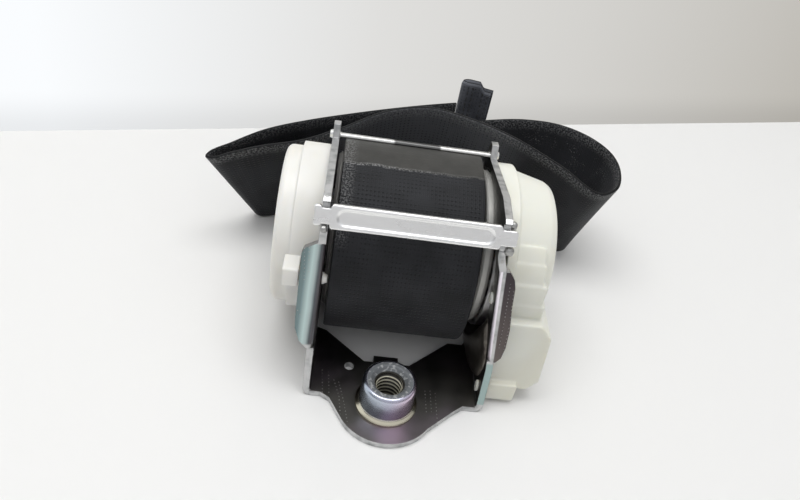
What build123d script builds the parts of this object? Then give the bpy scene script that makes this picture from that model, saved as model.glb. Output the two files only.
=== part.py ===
# Seat belt retractor with its webbing: a stamped steel frame lying on its base plate, a sprung
# spool that winds the belt, a locking mechanism under the right cover, and the free belt
# standing on edge behind it.
# Millimetres. Origin: axis of the threaded anchor bush, on the underside of the base plate.
# +X along the spool, +Y from the anchor tongue towards the belt's way out, +Z up.
from build123d import *
from math import atan2, cos, degrees, hypot, radians, sin
import os

os.makedirs("parts", exist_ok=True)

# Frame
sheet = 2.3                 # thickness of the stamped steel
ear_out = 28.5              # outer face of both ears, from the middle
ear_out_low = 33.7          # the right ear's outer face below its jog
ear_out_mid = 30.2          # and where the jog's long slope meets its short one
jog_low, jog_mid, jog_high = 18.0, 55.5, 60.5
base_front = 1.4
base_rear = 78.0
tongue_r = 17.0
axis_y, axis_z = 45.6, 38.2  # spool axis
hole_left_r = 12.0
hole_right_r = 28.2

# Anchor bush
bush_r = 9.2
bush_collar_r = 10.6
bush_height = 13.7
thread_r = 4.25
bush_mouth_r = 6.2
press_r = 7.6               # spigot of the bush, staked into the base plate

# Belt
web_width = 47.0
web_thick = 1.2
roll_r = 28.0
barrel_r = 14.0
loose_y, loose_z = 44.2, 36.4  # middle of the belt's slack outer turn, which hangs below the roll
loose_r = 31.4

# Covers
cup_r, lid_r = 28.8, 27.2
wall = 1.6
cup_x0, cup_x1 = -ear_out - 0.05, -37.6
lid_x1 = -43.3
cover_r = 29.4
cover_x1 = 49.2

# Barbed clips that hold the housings to the ears, in Y and Z
clip_r = 1.5
clip_high = (14.4, 42.0)
clip_low = (7.8, 6.6)

# Locking mechanism
ring_teeth = 24
ring_tip_r, ring_root_r = 25.0, 26.9
gear_teeth = 36
gear_root_r, gear_tip_r = 22.0, 23.6
shaft_r = 4.0
fit = 0.05                  # radial running clearance of a shaft in its hole
swing = 10.0                # degrees that the lock dog swings out
cover_x0 = 34.6             # where the cover meets the gear case
case_x0 = 31.7
lift = 7.0                  # degrees that the ball lifts the sensor lever
lever_pivot = (15.4, 21.0)
ball_at, ball_r = (41.0, 21.0, 14.4), 3.8
cone_slope = 30.0


def axial(x0):
    """Plane across the spool axis at x0, its own x along Y and its own y along Z."""
    return Plane(origin=(x0, axis_y, axis_z), x_dir=(0, 1, 0), z_dir=(1, 0, 0))


def side(x0):
    """Plane at x0 whose own coordinates are the model's Y and Z."""
    return Plane(origin=(x0, 0, 0), x_dir=(0, 1, 0), z_dir=(1, 0, 0))


# Plane through the spool axis for turned pieces: its own x is X, its own y the radius
turning = Plane(origin=(0, axis_y, axis_z), x_dir=(1, 0, 0), z_dir=(0, -1, 0))
spool_axis = Axis((0, axis_y, axis_z), (1, 0, 0))


def polar(r, angle):
    return (r * cos(radians(angle)), r * sin(radians(angle)))


def turned(point, angle, about=(0, 0)):
    a = radians(angle)
    dy, dz = point[0] - about[0], point[1] - about[1]
    return (about[0] + dy * cos(a) - dz * sin(a), about[1] + dy * sin(a) + dz * cos(a))


def finish(builder, name):
    builder.part.label = name
    export_step(builder.part, f"parts/{name}.step")


# Outline of an ear in Y and Z: it leans back from the base corner to the tie bar's notch.
ear_front = [(base_front, 0), (5.6, 22), (12.4, 57), (13.2, 62.2)]
bar_low, bar_high = (13.6, 63.1), (16.6, 70.2)
ear_top = [(16.6, 72.4), (27.0, 73.2), (51.0, 68.6), (57.6, 67.4), (59.4, 71.6), (62.6, 71.2),
           (66.0, 64.0), (77.0, 50.0), (base_rear, 8.0), (base_rear, 0)]
guide_at = (60.6, 66.2)     # middle of the belt guide bar
guide_tilt = -28.0
peg_at, peg_r = (60.9, 66.8), 1.0   # pegs of that bar, headed over outside the ears

# Plane of the ears' front edge; its own y runs up that edge
lean = Plane(origin=(0, *ear_front[1]), x_dir=(1, 0, 0),
             z_dir=(0, ear_front[1][1] - ear_front[2][1], ear_front[2][0] - ear_front[1][0]))
bend_r = 2.0                # of the flanges' bends, on the side towards the belt


def ear_face(z):
    """Outer face of the right ear at that height."""
    if z < jog_low:
        return ear_out_low
    if z < jog_mid:
        return ear_out_low + (ear_out_mid - ear_out_low) * (z - jog_low) / (jog_mid - jog_low)
    return ear_out + (ear_out_mid - ear_out) * max(0, jog_high - z) / (jog_high - jog_mid)


def inner_edge(v):
    """Inner face of the right ear, v up its front edge from the flange's foot."""
    return ear_face(lean.from_local_coords((0, v, 0)).Z) - sheet


left_flange = [(sheet - ear_out, -3.0), (-28.8, -3.0), (-31.4, -0.2), (-33.0, 4.6), (-33.2, 9.0),
               (-33.2, 32.0), (-32.5, 34.0), (-28.6, 36.2), (sheet - ear_out, 36.2)]
right_flange = [(inner_edge(-0.6), -0.6), (33.9, -0.6), (35.4, 1.4), (36.1, 5.6), (35.9, 13.0),
                (34.8, 21.0), (34.2, 28.4), (33.4, 31.4), (31.4, 34.0), (inner_edge(34.0), 34.0)]

with BuildPart() as frame:
    with BuildSketch(Plane.XZ):
        with BuildLine() as section:
            half = sheet / 2
            FilletPolyline((-ear_out + half, 90), (-ear_out + half, half), (ear_out_low - half, half),
                           (ear_out_low - half, jog_low), (ear_out_mid - half, jog_mid),
                           (ear_out - half, jog_high), (ear_out - half, 90),
                           radius=(2.0, 2.0, 12.0, 6.0, 6.0))
        trace(section.line, line_width=sheet)
    extrude(amount=-base_rear)
    with BuildSketch(side(-40)):
        with BuildLine():
            Polyline(*ear_front, (13.6, 62.2), bar_low, bar_high, (15.0, 71.6), *ear_top,
                     close=True)
        make_face()
    extrude(amount=80, mode=Mode.INTERSECT)
    with BuildSketch():
        with BuildLine():
            tongue = CenterArc((0, 0), tongue_r, 212, 114)
            left = Polyline(tongue @ 0, (-19.2, -0.5), (-22.4, base_front), (-26.0, base_front))
            right = Polyline(tongue @ 1, (23.0, -1.4), (26.6, base_front), (31.0, base_front))
            Polyline(left @ 1, (-26.0, 20), (31.0, 20), right @ 1)
        make_face()
    extrude(amount=sheet)
    with BuildSketch(Plane.XY.offset(-1)):
        with BuildLine():
            Polyline((-8.2, 17.2), (-4.8, 17.2), (-4.8, 20.2), (4.0, 20.2), (4.0, 17.2), (8.2, 17.2),
                     (22.6, 30.2), (28.0, 30.2), (29.3, 32.5), (29.3, 64), (23, 69), (-20, 69),
                     (-26.0, 64), (-26.0, 31.4), (-22.6, 30.2), close=True)
        make_face()
    extrude(amount=sheet + 2, mode=Mode.SUBTRACT)
    # Flanges turned outwards along the leaning front edge of both ears
    for way, outline in ((-1, left_flange), (1, right_flange)):
        with BuildSketch(lean):
            with BuildLine():
                Polyline(*outline, close=True)
            make_face()
        extrude(amount=-sheet)
        foot = lean.from_local_coords(Vector(*outline[0], 0))
        head = lean.from_local_coords(Vector(*outline[-1], 0))
        with BuildSketch(Plane(origin=foot, x_dir=(way, 0, 0), z_dir=head - foot)):
            with BuildLine():
                arc_mid = bend_r * (1 - cos(radians(45)))
                bend = ThreePointArc((bend_r, 0), (arc_mid, way * arc_mid), (0, way * bend_r))
                Polyline(bend @ 1, (-0.5, way * bend_r), (-0.5, -way * 0.5), (bend_r, -way * 0.5),
                         bend @ 0)
            make_face()
        extrude(amount=(head - foot).length, mode=Mode.SUBTRACT)
    with Locations((-13.3, 14.1, sheet)):
        Hole(1.7)
    with Locations((0, 0, sheet)):
        Hole(press_r)
    with BuildSketch(side(-40)):
        with Locations(clip_high):
            Circle(clip_r + 0.1)
    extrude(amount=80, mode=Mode.SUBTRACT)
    with BuildSketch(side(20)):
        with Locations(clip_low):
            Circle(clip_r + 0.1)
    extrude(amount=20, mode=Mode.SUBTRACT)
    with BuildSketch(axial(-40)):
        Circle(hole_left_r)
    extrude(amount=20, mode=Mode.SUBTRACT)
    with BuildSketch(axial(20)):
        Circle(hole_right_r)
    extrude(amount=20, mode=Mode.SUBTRACT)
    with BuildSketch(side(-40)):
        with Locations(peg_at):
            Circle(peg_r)
    extrude(amount=80, mode=Mode.SUBTRACT)
finish(frame, "frame")


# Threaded bush staked into the tongue
with BuildPart() as anchor_bush:
    with BuildSketch(Plane.XZ):
        with BuildLine():
            Polyline((thread_r, 0), (press_r, 0), (press_r, sheet), (bush_collar_r, sheet),
                     (bush_collar_r, sheet + 0.9), (bush_r, sheet + 1.9), (bush_r, bush_height - 1.6),
                     (bush_r - 1.6, bush_height), (bush_mouth_r, bush_height),
                     (thread_r, bush_height - 1.9), close=True)
        make_face()
    revolve(axis=Axis.Z)
    fillet(anchor_bush.edges().filter_by(GeomType.CIRCLE).filter_by_position(
        Axis.Z, bush_height - 1.7, bush_height - 1.5), radius=0.8)
finish(anchor_bush, "anchor_bush")

# Tie bar across the front of the ears: a pressed strip with a long sunk panel and T ends
bar_mid = ((bar_low[0] + bar_high[0]) / 2, (bar_low[1] + bar_high[1]) / 2)
bar_plane = Plane(origin=(0, *bar_mid), x_dir=(1, 0, 0),
                  z_dir=(0, bar_low[1] - bar_high[1], bar_high[0] - bar_low[0]))
bar_width = hypot(bar_high[0] - bar_low[0], bar_high[1] - bar_low[1])
bar_thick = 1.8
with BuildPart() as tie_bar:
    with BuildSketch(bar_plane):
        Rectangle(2 * (ear_out - sheet) - 0.6, bar_width)
        Rectangle(2 * ear_out + 4.4, bar_width - 2.6)
        with Locations((-ear_out - 1.5, 0)):
            Rectangle(2.2, bar_width - 1.2)
    extrude(amount=bar_thick)
    with BuildSketch(bar_plane.offset(bar_thick)):
        SlotOverall(2 * ear_out - 9.0, bar_width - 3.0)
    extrude(amount=-0.6, mode=Mode.SUBTRACT)
finish(tie_bar, "tie_bar")

# Belt guide bar across the back of the ears
guide_plane = Plane(origin=(0, *guide_at), x_dir=(1, 0, 0),
                    z_dir=(0, sin(radians(-guide_tilt)), cos(radians(guide_tilt))))
with BuildPart() as guide_bar:
    with BuildSketch(guide_plane):
        Rectangle(2 * (ear_out - sheet) - 0.4, 7.5)
    extrude(amount=1.3)
    fillet(guide_bar.edges().filter_by(Axis.X), radius=0.5)
    for way in (-1, 1):
        with BuildSketch(side(way * (ear_out - sheet - 0.4))):
            with Locations(peg_at):
                Circle(peg_r)
        extrude(amount=way * (sheet + 0.5))
        with BuildSketch(side(way * (ear_out + 0.02))):
            with Locations(peg_at):
                Circle(peg_r + 0.6)
        extrude(amount=way * 1.0, taper=20)
finish(guide_bar, "guide_bar")

# Spool: light alloy barrel with its thin left flange and the journal for the left bearing
with BuildPart() as spool:
    with BuildSketch(turning):
        with BuildLine():
            Polyline((-31.0, 0), (-31.0, 8.0), (-25.6, 8.0), (-25.6, 26.0), (-24.6, 27.0),
                     (-23.9, 26.6), (-23.9, barrel_r), (23.6, barrel_r), (23.6, 5.6),
                     (-20.0, 5.6), (-20.0, 0), close=True)
        make_face()
    revolve(axis=spool_axis)
    with BuildSketch(Plane.XY.offset(axis_z + barrel_r - 4.0)):
        with Locations((0, axis_y)):
            Rectangle(44, 3.4)
    extrude(amount=5, mode=Mode.SUBTRACT)
finish(spool, "spool")

# Pin that holds the belt's inner end in the barrel's slot
with BuildPart() as web_pin:
    with Locations(Location((0, axis_y, axis_z + barrel_r - 2.4), (0, 90, 0))):
        Cylinder(1.6, 43.6)
finish(web_pin, "web_pin")

# Torsion bar through the barrel: splined head on the right, squared neck on the left
with BuildPart() as torsion_bar:
    with BuildSketch(turning):
        with BuildLine():
            Polyline((-19.9, 0), (-19.9, 5.5), (-15.0, 5.5), (-13.0, 3.6), (15.0, 3.6),
                     (17.5, 5.5), (27.4, 5.5), (27.4, 0), close=True)
        make_face()
    revolve(axis=spool_axis)
    with BuildSketch(axial(17.6)):
        with PolarLocations(5.5, 12):
            Circle(0.55)
    extrude(amount=9.8, mode=Mode.SUBTRACT)
finish(torsion_bar, "torsion_bar")

# Right flange: a cast disc whose boss carries the lock dog and ends in the shaft stub
dog_pivot_r, dog_pivot_angle = 14.6, 300.0
dog_tip_r, dog_tip_angle = 24.0, dog_pivot_angle - 55.0
dog_pin_r, dog_pin_angle = 18.4, dog_pivot_angle - 42.0
with BuildPart() as lock_base:
    with BuildSketch(turning):
        with BuildLine():
            Polyline((23.8, 5.6), (23.8, 25.8), (24.2, 26.6), (25.0, 27.0), (26.5, 27.0), (27.3, 26.6),
                     (27.8, 25.8), (27.8, 23.8), (28.4, 23.8), (28.4, 9.0), (31.4, 9.0), (31.4, shaft_r),
                     (40.4, shaft_r), (41.0, shaft_r - 0.6), (41.0, 0), (27.5, 0), (27.5, 5.6),
                     close=True)
        make_face()
    revolve(axis=spool_axis)
    with BuildSketch(axial(23.8)):
        with PolarLocations(22.0, 8):
            Circle(2.6)
    extrude(amount=0.8, mode=Mode.SUBTRACT)
    with BuildSketch(axial(28.4)):
        with Locations(polar(dog_pivot_r, dog_pivot_angle)):
            Circle(2.0)
    extrude(amount=3.2)
finish(lock_base, "lock_base")

# Belt wound on the barrel
with BuildPart() as webbing_roll:
    with BuildSketch(axial(-web_width / 2)):
        Circle(roll_r)
        Circle(barrel_r, mode=Mode.SUBTRACT)
    extrude(amount=web_width)
finish(webbing_roll, "webbing_roll")

# Left bearing bush: a flanged plastic ring snapped into the ear
with BuildPart() as bearing_bush:
    with BuildSketch(turning):
        with BuildLine():
            Polyline((-30.2, 8.0 + fit), (-30.2, hole_left_r), (-26.2, hole_left_r),
                     (-26.2, 13.6), (-25.8, 13.6), (-25.8, 8.0 + fit), close=True)
        make_face()
    revolve(axis=spool_axis)
finish(bearing_bush, "bearing_bush")


def clip_pin(way, at, x_root, barb):
    """Barbed pin that snaps through an ear; way is -1 on the left side, 1 on the right."""
    inner = way * (ear_face(at[1]) - sheet - 0.3) if way > 0 else sheet - ear_out
    with BuildPart() as pin:
        with BuildSketch(side(x_root)):
            with Locations(at):
                Circle(clip_r)
        extrude(amount=inner - x_root)
        with BuildSketch(side(inner)):
            with Locations(at):
                Circle(clip_r + 0.5)
        extrude(amount=-way * barb, taper=25)
    return pin.part


# Spring housing: cup against the ear, lid snapped over it
left_pin = clip_pin(-1, clip_high, -33.8, 1.6)
with BuildPart() as spring_cup:
    with BuildSketch(axial(cup_x0)):
        Circle(cup_r)
    extrude(amount=cup_x1 - cup_x0)
    with BuildSketch(axial(-30.3)):
        Circle(cup_r - wall)
    extrude(amount=-10, mode=Mode.SUBTRACT)
    with BuildSketch(axial(-28)):
        Circle(hole_left_r + 0.3)
    extrude(amount=-5, mode=Mode.SUBTRACT)
    with BuildSketch(side(-33.6)):
        with Locations((14.7, clip_high[1] + 1.4)):
            RectangleRounded(7.4, 7.2, 0.6)
    extrude(amount=-5.0)
    add(left_pin)
finish(spring_cup, "spring_cup")

with BuildPart() as spring_cover:
    with BuildSketch(axial(cup_x1)):
        Circle(lid_r)
    extrude(amount=lid_x1 - cup_x1)
    fillet(spring_cover.faces().sort_by(Axis.X)[0].edges(), radius=2.2)
    with BuildSketch(axial(cup_x1)):
        Circle(lid_r - 2.2)
    extrude(amount=-3.9, mode=Mode.SUBTRACT)
finish(spring_cover, "spring_cover")

# Arbor that the spring's inner end hooks into
with BuildPart() as spring_arbor:
    with BuildSketch(axial(-31.1)):
        Circle(5.0)
    extrude(amount=-6.0)
    with BuildSketch(axial(-37.2)):
        with Locations((0, 3.5)):
            Rectangle(0.9, 4)
    extrude(amount=8, both=True, mode=Mode.SUBTRACT)
finish(spring_arbor, "spring_arbor")

# Clock spring: half turns of growing radius, joined end to end
spring_turns, spring_first_r, spring_pitch, spring_strip = 7, 7.4, 1.55, 0.45
with BuildPart() as power_spring:
    with BuildSketch(axial(-36.9)):
        with BuildLine() as coil:
            r = spring_first_r
            at = (r, 0)
            for half_turn in range(2 * spring_turns):
                way = 1 if half_turn % 2 == 0 else -1
                across = 2 * r + spring_pitch / 2
                end = (at[0] - way * across, 0)
                RadiusArc(at, end, -across / 2)
                at, r = end, r + spring_pitch / 2
        trace(coil.line, line_width=spring_strip)
    extrude(amount=5.6)
finish(power_spring, "power_spring")

# Ring of inner ratchet teeth set in the right ear, which stops the spool
with BuildPart() as ratchet_ring:
    with BuildSketch(axial(28.0)):
        Circle(hole_right_r)
        Circle(ring_tip_r, mode=Mode.SUBTRACT)
        pitch = 360 / ring_teeth
        engaged = degrees(atan2(*reversed(turned(polar(dog_tip_r, dog_tip_angle), swing,
                                                 polar(dog_pivot_r, dog_pivot_angle)))))
        for tooth in range(ring_teeth):
            mid = engaged + tooth * pitch
            with BuildLine():
                Polyline(polar(ring_tip_r - 0.5, mid - 0.40 * pitch), polar(ring_root_r, mid - 0.28 * pitch),
                         polar(ring_root_r, mid + 0.28 * pitch), polar(ring_tip_r - 0.5, mid + 0.40 * pitch),
                         close=True)
            make_face(mode=Mode.SUBTRACT)
    extrude(amount=3.3)
finish(ratchet_ring, "ratchet_ring")

# Lock dog: swings out of the boss into the ring's teeth
pivot = polar(dog_pivot_r, dog_pivot_angle)
tip = polar(dog_tip_r, dog_tip_angle)
with BuildPart() as lock_dog:
    with BuildSketch(axial(28.6)):
        with BuildLine():
            Polyline(polar(dog_pivot_r + 4.2, dog_pivot_angle), polar(22.6, dog_pivot_angle - 18),
                     polar(23.0, dog_tip_angle + 6), tip, polar(20.6, dog_tip_angle),
                     polar(15.0, dog_pivot_angle - 32), polar(dog_pivot_r - 4.0, dog_pivot_angle - 6),
                     close=True)
        make_face()
        with Locations(pivot):
            Circle(4.2)
            Circle(2.0 + fit, mode=Mode.SUBTRACT)
    extrude(amount=2.6)
    with BuildSketch(axial(31.1)):
        with Locations(polar(dog_pin_r, dog_pin_angle)):
            Circle(1.0)
    extrude(amount=2.6)
finish(lock_dog, "lock_dog")

# Lock gear: lags behind the spool when the sensor catches its teeth, and its slot steers the dog
def slot_point(angle):
    """Place of the dog's pin as the gear sees it when it lags by that angle."""
    swung = turned(polar(dog_pin_r, dog_pin_angle), angle, pivot)
    return turned(swung, -angle)


apex = polar(24.0, 222)
apex = (axis_y + apex[0], axis_z + apex[1])
lifted = turned(apex, lift, lever_pivot)
gear_phase = degrees(atan2(lifted[1] - axis_z, lifted[0] - axis_y)) - 4.7
with BuildPart() as lock_gear:
    with BuildSketch(axial(32.2)):
        Circle(gear_root_r)
        for tooth in range(gear_teeth):
            angle = gear_phase + tooth * 360 / gear_teeth
            with BuildLine():
                Polyline(polar(gear_root_r - 0.4, angle + 2.6), polar(gear_tip_r, angle - 1.4),
                         polar(gear_tip_r, angle - 2.4), polar(gear_root_r - 0.4, angle - 3.2),
                         close=True)
            make_face()
        Circle(shaft_r + fit, mode=Mode.SUBTRACT)
        first, last = slot_point(0), slot_point(swing)
        with Locations(slot_point(swing / 2)):
            SlotCenterToCenter(hypot(last[0] - first[0], last[1] - first[1]) + 0.4, 3.0,
                               rotation=degrees(atan2(last[1] - first[1], last[0] - first[0])),
                               mode=Mode.SUBTRACT)
    extrude(amount=3.6)
    with BuildSketch(axial(33.9)):
        Circle(gear_root_r - 1.8)
        Circle(6.5, mode=Mode.SUBTRACT)
    extrude(amount=3, mode=Mode.SUBTRACT)
finish(lock_gear, "lock_gear")

# Gear case: ring of moulded plastic between the right ear and the cover
right_pin = clip_pin(1, clip_high, case_x0 + 0.5, 0.6)
with BuildPart() as gear_case:
    with BuildSketch(axial(case_x0)):
        Circle(cover_r + 0.8)
        Circle(gear_tip_r + 1.6, mode=Mode.SUBTRACT)
    extrude(amount=cover_x0 - case_x0)
    with BuildSketch(axial(ear_out + 0.05)):
        with BuildLine():
            outer = CenterArc((0, 0), cover_r + 0.8, 45, 90)
            inner = CenterArc((0, 0), hole_right_r + 0.6, 45, 90)
            Line(outer @ 0, inner @ 0)
            Line(outer @ 1, inner @ 1)
        make_face()
    extrude(amount=case_x0 - ear_out)
    with BuildSketch(side(case_x0)):
        with Locations(clip_high):
            Circle(2.0)
    extrude(amount=cover_x0 - case_x0)
    with BuildSketch(side(case_x0 + 0.8)):
        with Locations((apex[0] - 1.5, apex[1])):
            Rectangle(9, 9)
    extrude(amount=cover_x0 - case_x0, mode=Mode.SUBTRACT)
    # Room for the ear, whose lower part stands out beside the case's spigot
    with BuildSketch(axial(20)):
        Circle(cover_r + 2)
        Circle(hole_right_r - 0.05, mode=Mode.SUBTRACT)
    ear_room = extrude(amount=20, mode=Mode.PRIVATE)
    with BuildSketch(Plane.XZ.offset(-axis_y - 40)):
        with BuildLine():
            Polyline((20, 0), (ear_out_low + 0.1, 0), (ear_out_low + 0.1, jog_low),
                     (ear_out_mid + 0.1, jog_mid), (ear_out + 0.1, jog_high), (20, jog_high),
                     close=True)
        make_face()
    ear_side = extrude(amount=80, mode=Mode.PRIVATE)
    add(ear_room & ear_side, mode=Mode.SUBTRACT)
    add(right_pin)
finish(gear_case, "gear_case")

# Mechanism cover: tapering drum with a square sensor box on its lower front, one moulding
box_low, box_high, box_rear = 5.6, 33.6, 38.0
box_foot, box_brow = 8.8, 13.4  # front of the sensor box at its foot and at its top, in Y
box_x1 = 51.8
drum = [(cover_x0, 28.6), (36.4, 28.2), (46.6, 25.7), (48.4, 24.6), (cover_x1, 22.8)]


def box_outline(inset):
    """Outline of the sensor box in Y and Z; its front leans back as the ears do."""
    Polygon((box_foot + inset, box_low + inset), (box_brow + inset, box_high - inset),
            (box_rear - inset, box_high - inset), (box_rear - inset, box_low + inset), align=None)


low_pin = clip_pin(1, clip_low, 37.0, 1.8)
with BuildPart() as mechanism_cover:
    with BuildSketch(turning):
        with BuildLine():
            Polyline((cover_x0, 0), *drum, (cover_x1, 0), close=True)
        make_face()
    revolve(axis=spool_axis)
    # Steps down the drum's front, each a little prouder than the one above
    for index, angle in enumerate((138, 150, 164, 181)):
        with BuildSketch(axial(cover_x0)):
            with BuildLine():
                proud = CenterArc((0, 0), 28.6 + 0.35 * index, angle, 208 - angle)
                Polyline(proud @ 0, (0, 0), proud @ 1)
            make_face()
        extrude(amount=11.4, taper=6)
    with BuildSketch(side(cover_x0)):
        box_outline(0)
    extrude(amount=box_x1 - cover_x0)
    fillet(mechanism_cover.faces().sort_by(Axis.X)[-1].edges(), radius=1.4)
    with BuildSketch(turning):
        with BuildLine():
            Polyline((cover_x0, 0), *[(x, r - wall) for x, r in drum[:-2]],
                     (cover_x1 - wall, drum[-1][1] - wall), (cover_x1 - wall, 0), close=True)
        make_face()
    revolve(axis=spool_axis, mode=Mode.SUBTRACT)
    with BuildSketch(side(cover_x0)):
        box_outline(wall)
    extrude(amount=box_x1 - wall - cover_x0, mode=Mode.SUBTRACT)
    with BuildSketch(axial(38.0)):
        Circle(7.0)
        Circle(shaft_r + fit, mode=Mode.SUBTRACT)
    extrude(amount=cover_x1 - 38.5)
    with BuildSketch(side(34.4)):
        with Locations((8.5, 5.4)):
            RectangleRounded(3.8, 7.6, 0.8)
    extrude(amount=10.4)
    add(low_pin)
finish(mechanism_cover, "mechanism_cover")

# Sensor housing: cone seat for the ball and two lugs for the lever's pivot
seat_z = ball_at[2] - ball_r * cos(radians(cone_slope)) - 0.12
seat_r = ball_r * sin(radians(cone_slope))
with BuildPart() as sensor_housing:
    with BuildSketch(Plane.XY.offset(7.3)):
        with Locations((ball_at[0], 22.0)):
            RectangleRounded(11.4, 16.0, 1.0)
    extrude(amount=1.3)
    with BuildSketch(Plane(origin=ball_at[:2] + (0,), x_dir=(1, 0, 0), z_dir=(0, -1, 0))):
        with BuildLine():
            rise = (4.9 - seat_r) * sin(radians(cone_slope)) / cos(radians(cone_slope))
            Polyline((1.2, 8.0), (5.6, 8.0), (5.6, seat_z + rise), (4.9, seat_z + rise),
                     (seat_r, seat_z), (1.2, seat_z - 0.5), close=True)
        make_face()
    revolve(axis=Axis(ball_at[:2] + (0,), (0, 0, 1)))
    for x0 in (36.0, 43.6):
        with BuildSketch(side(x0)):
            with Locations((lever_pivot[0], 15.4)):
                Rectangle(3.0, 15.0)
            with Locations(lever_pivot):
                Circle(1.0 + fit, mode=Mode.SUBTRACT)
        extrude(amount=1.6)
finish(sensor_housing, "sensor_housing")

with BuildPart() as sensor_ball:
    with Locations(ball_at):
        Sphere(ball_r)
finish(sensor_ball, "sensor_ball")

# Sensor lever: plate over the ball, with a pawl that reaches sideways to the lock gear
over_ball = ball_at[2] + ball_r + 0.15
with BuildPart() as sensor_lever:
    with BuildSketch(side(37.8)):
        with BuildLine():
            Polyline((lever_pivot[0], lever_pivot[1] + 1.6), (apex[0] - 2.4, apex[1] + 0.7), apex,
                     (apex[0] + 0.5, over_ball), (lever_pivot[0], over_ball), close=True)
        make_face()
        with Locations(lever_pivot):
            Circle(1.7)
    extrude(amount=5.4)
    with BuildSketch(side(34.0)):
        with BuildLine():
            Polyline((apex[0] - 2.2, apex[1] - 0.2), apex, (apex[0] + 0.5, over_ball),
                     (apex[0] - 2.6, over_ball), close=True)
        make_face()
    extrude(amount=4.4)
    with BuildSketch(side(36.1)):
        with Locations(lever_pivot):
            Circle(1.0)
    extrude(amount=8.8)
finish(sensor_lever, "sensor_lever")

# Free belt, from the roll under the guide bar, down behind the spool and on along the floor.
# Each station gives both edges of the belt: first the edge that ends up on top, then the lower.
half_width = web_width / 2
wrap = [turned((axis_y + roll_r + 1.3, axis_z), angle, (axis_y, axis_z)) for angle in (336, 318)]
wrap += [turned((loose_y + loose_r, loose_z), angle, (loose_y, loose_z))
         for angle in range(294, 90, -14)]
wrap += [(46.0, 67.9), (58.4, 65.6), (64.8, 61.6), (71.0, 54.4), (75.8, 45.0), (79.4, 33.0),
         (82.6, 18.0)]
route = [
    ((-half_width, *wrap[-1]), (half_width, *wrap[-1])),
    ((-20.5, 93.5, 7.6), (26.0, 85.5, 5.2)),
    ((-9.0, 108.0, 9.0), (33.5, 93.5, 1.2)),
    ((5.0, 119.5, 25.0), (38.5, 104.5, 0.8)),
    ((21.5, 125.5, 38.0), (44.5, 113.5, 0.8)),
    ((37.5, 126.0, 44.5), (52.0, 118.5, 0.8)),
    ((53.0, 127.0, 46.6), (60.0, 121.2, 0.8)),
    ((68.0, 126.0, 46.8), (68.8, 119.0, 0.8)),
    ((80.6, 119.0, 46.4), (76.6, 112.0, 0.8)),
    ((87.3, 108.4, 46.0), (80.0, 105.0, 0.8)),
    ((88.6, 95.5, 45.6), (79.6, 99.6, 0.8)),
    ((85.8, 84.5, 45.2), (76.6, 96.2, 0.8)),
    ((80.2, 79.6, 46.0), (71.0, 94.8, 0.8)),
    ((60.2, 85.0, 51.8), (54.5, 96.4, 6.6)),
    ((38.7, 90.0, 59.2), (36.0, 98.0, 13.0)),
    ((22.8, 93.0, 62.3), (22.0, 99.4, 15.8)),
    ((6.6, 94.0, 64.1), (6.6, 100.0, 17.5)),
    ((-7.6, 92.0, 62.0), (-7.0, 99.2, 15.6)),
    ((-26.7, 87.0, 53.8), (-25.0, 97.4, 8.0)),
    ((-41.2, 84.0, 48.0), (-38.6, 96.8, 2.8)),
    ((-55.2, 81.4, 44.8), (-49.6, 96.8, 1.0)),
    ((-66.5, 77.6, 42.6), (-54.4, 95.4, 0.8)),
    ((-73.4, 76.4, 39.6), (-57.0, 95.4, 0.8)),
    ((-75.0, 77.6, 39.2), (-58.2, 96.4, 0.8)),
    ((-74.6, 79.4, 39.2), (-58.0, 98.0, 0.8)),
    ((-67.3, 84.4, 42.6), (-53.4, 101.0, 0.8)),
    ((-56.8, 91.8, 44.6), (-47.5, 104.0, 0.8)),
    ((-39.1, 101.6, 45.8), (-35.6, 108.8, 0.8)),
    ((-23.4, 109.9, 46.4), (-22.0, 114.4, 0.8)),
    ((-6.9, 118.4, 46.8), (-6.4, 121.0, 0.8)),
    ((10.4, 126.6, 47.0), (10.2, 127.6, 0.8)),
    ((22.0, 131.6, 47.2), (22.0, 131.6, 0.8)),
]


def station_plane(index):
    """Plane across the belt at one station: its own x runs from the lower to the upper edge."""
    upper, lower = (Vector(*point) for point in route[index])
    ahead = [Vector(*p) for p in route[min(index + 1, len(route) - 1)]]
    behind = [Vector(*p) for p in route[max(index - 1, 0)]]
    if index == 0:
        ahead = [Vector(0, *wrap[-1])] * 2
        behind = [Vector(0, *wrap[-2])] * 2
    along = ahead[0] + ahead[1] - behind[0] - behind[1]
    across = (upper - lower).normalized()
    along = along - across * along.dot(across)
    return Plane(origin=lower + across * half_width, x_dir=across, z_dir=along.normalized())


def beside(index, distance):
    """Point off the slack turn's middle line at one of its stations, square to the line."""
    ahead, behind = wrap[min(index + 1, len(wrap) - 1)], wrap[max(index - 1, 0)]
    dy, dz = ahead[0] - behind[0], ahead[1] - behind[1]
    along = hypot(dy, dz)
    return (wrap[index][0] - distance * dz / along, wrap[index][1] + distance * dy / along)


middles = [Vector(0, y, z) for y, z in wrap[:-1]]
middles += [station_plane(index).origin for index in range(len(route))]
free_length = sum((b - a).length for a, b in zip(middles, middles[1:]))
print("free belt, mm:", round(free_length, 1))

with BuildPart() as webbing_free:
    with BuildSketch(side(-half_width)):
        with BuildLine():
            outer = Spline(*[beside(index, web_thick / 2) for index in range(len(wrap))])
            inner = Spline(*[beside(index, -web_thick / 2) for index in range(len(wrap))])
            Line(outer @ 0, inner @ 0)
            Line(outer @ 1, inner @ 1)
        make_face()
    extrude(amount=web_width)
    for index in range(len(route)):
        with BuildSketch(station_plane(index)):
            Rectangle(web_width, web_thick)
    loft(ruled=True)
finish(webbing_free, "webbing_free")
print("belt solid", webbing_free.part.is_valid, webbing_free.part.volume)

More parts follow.
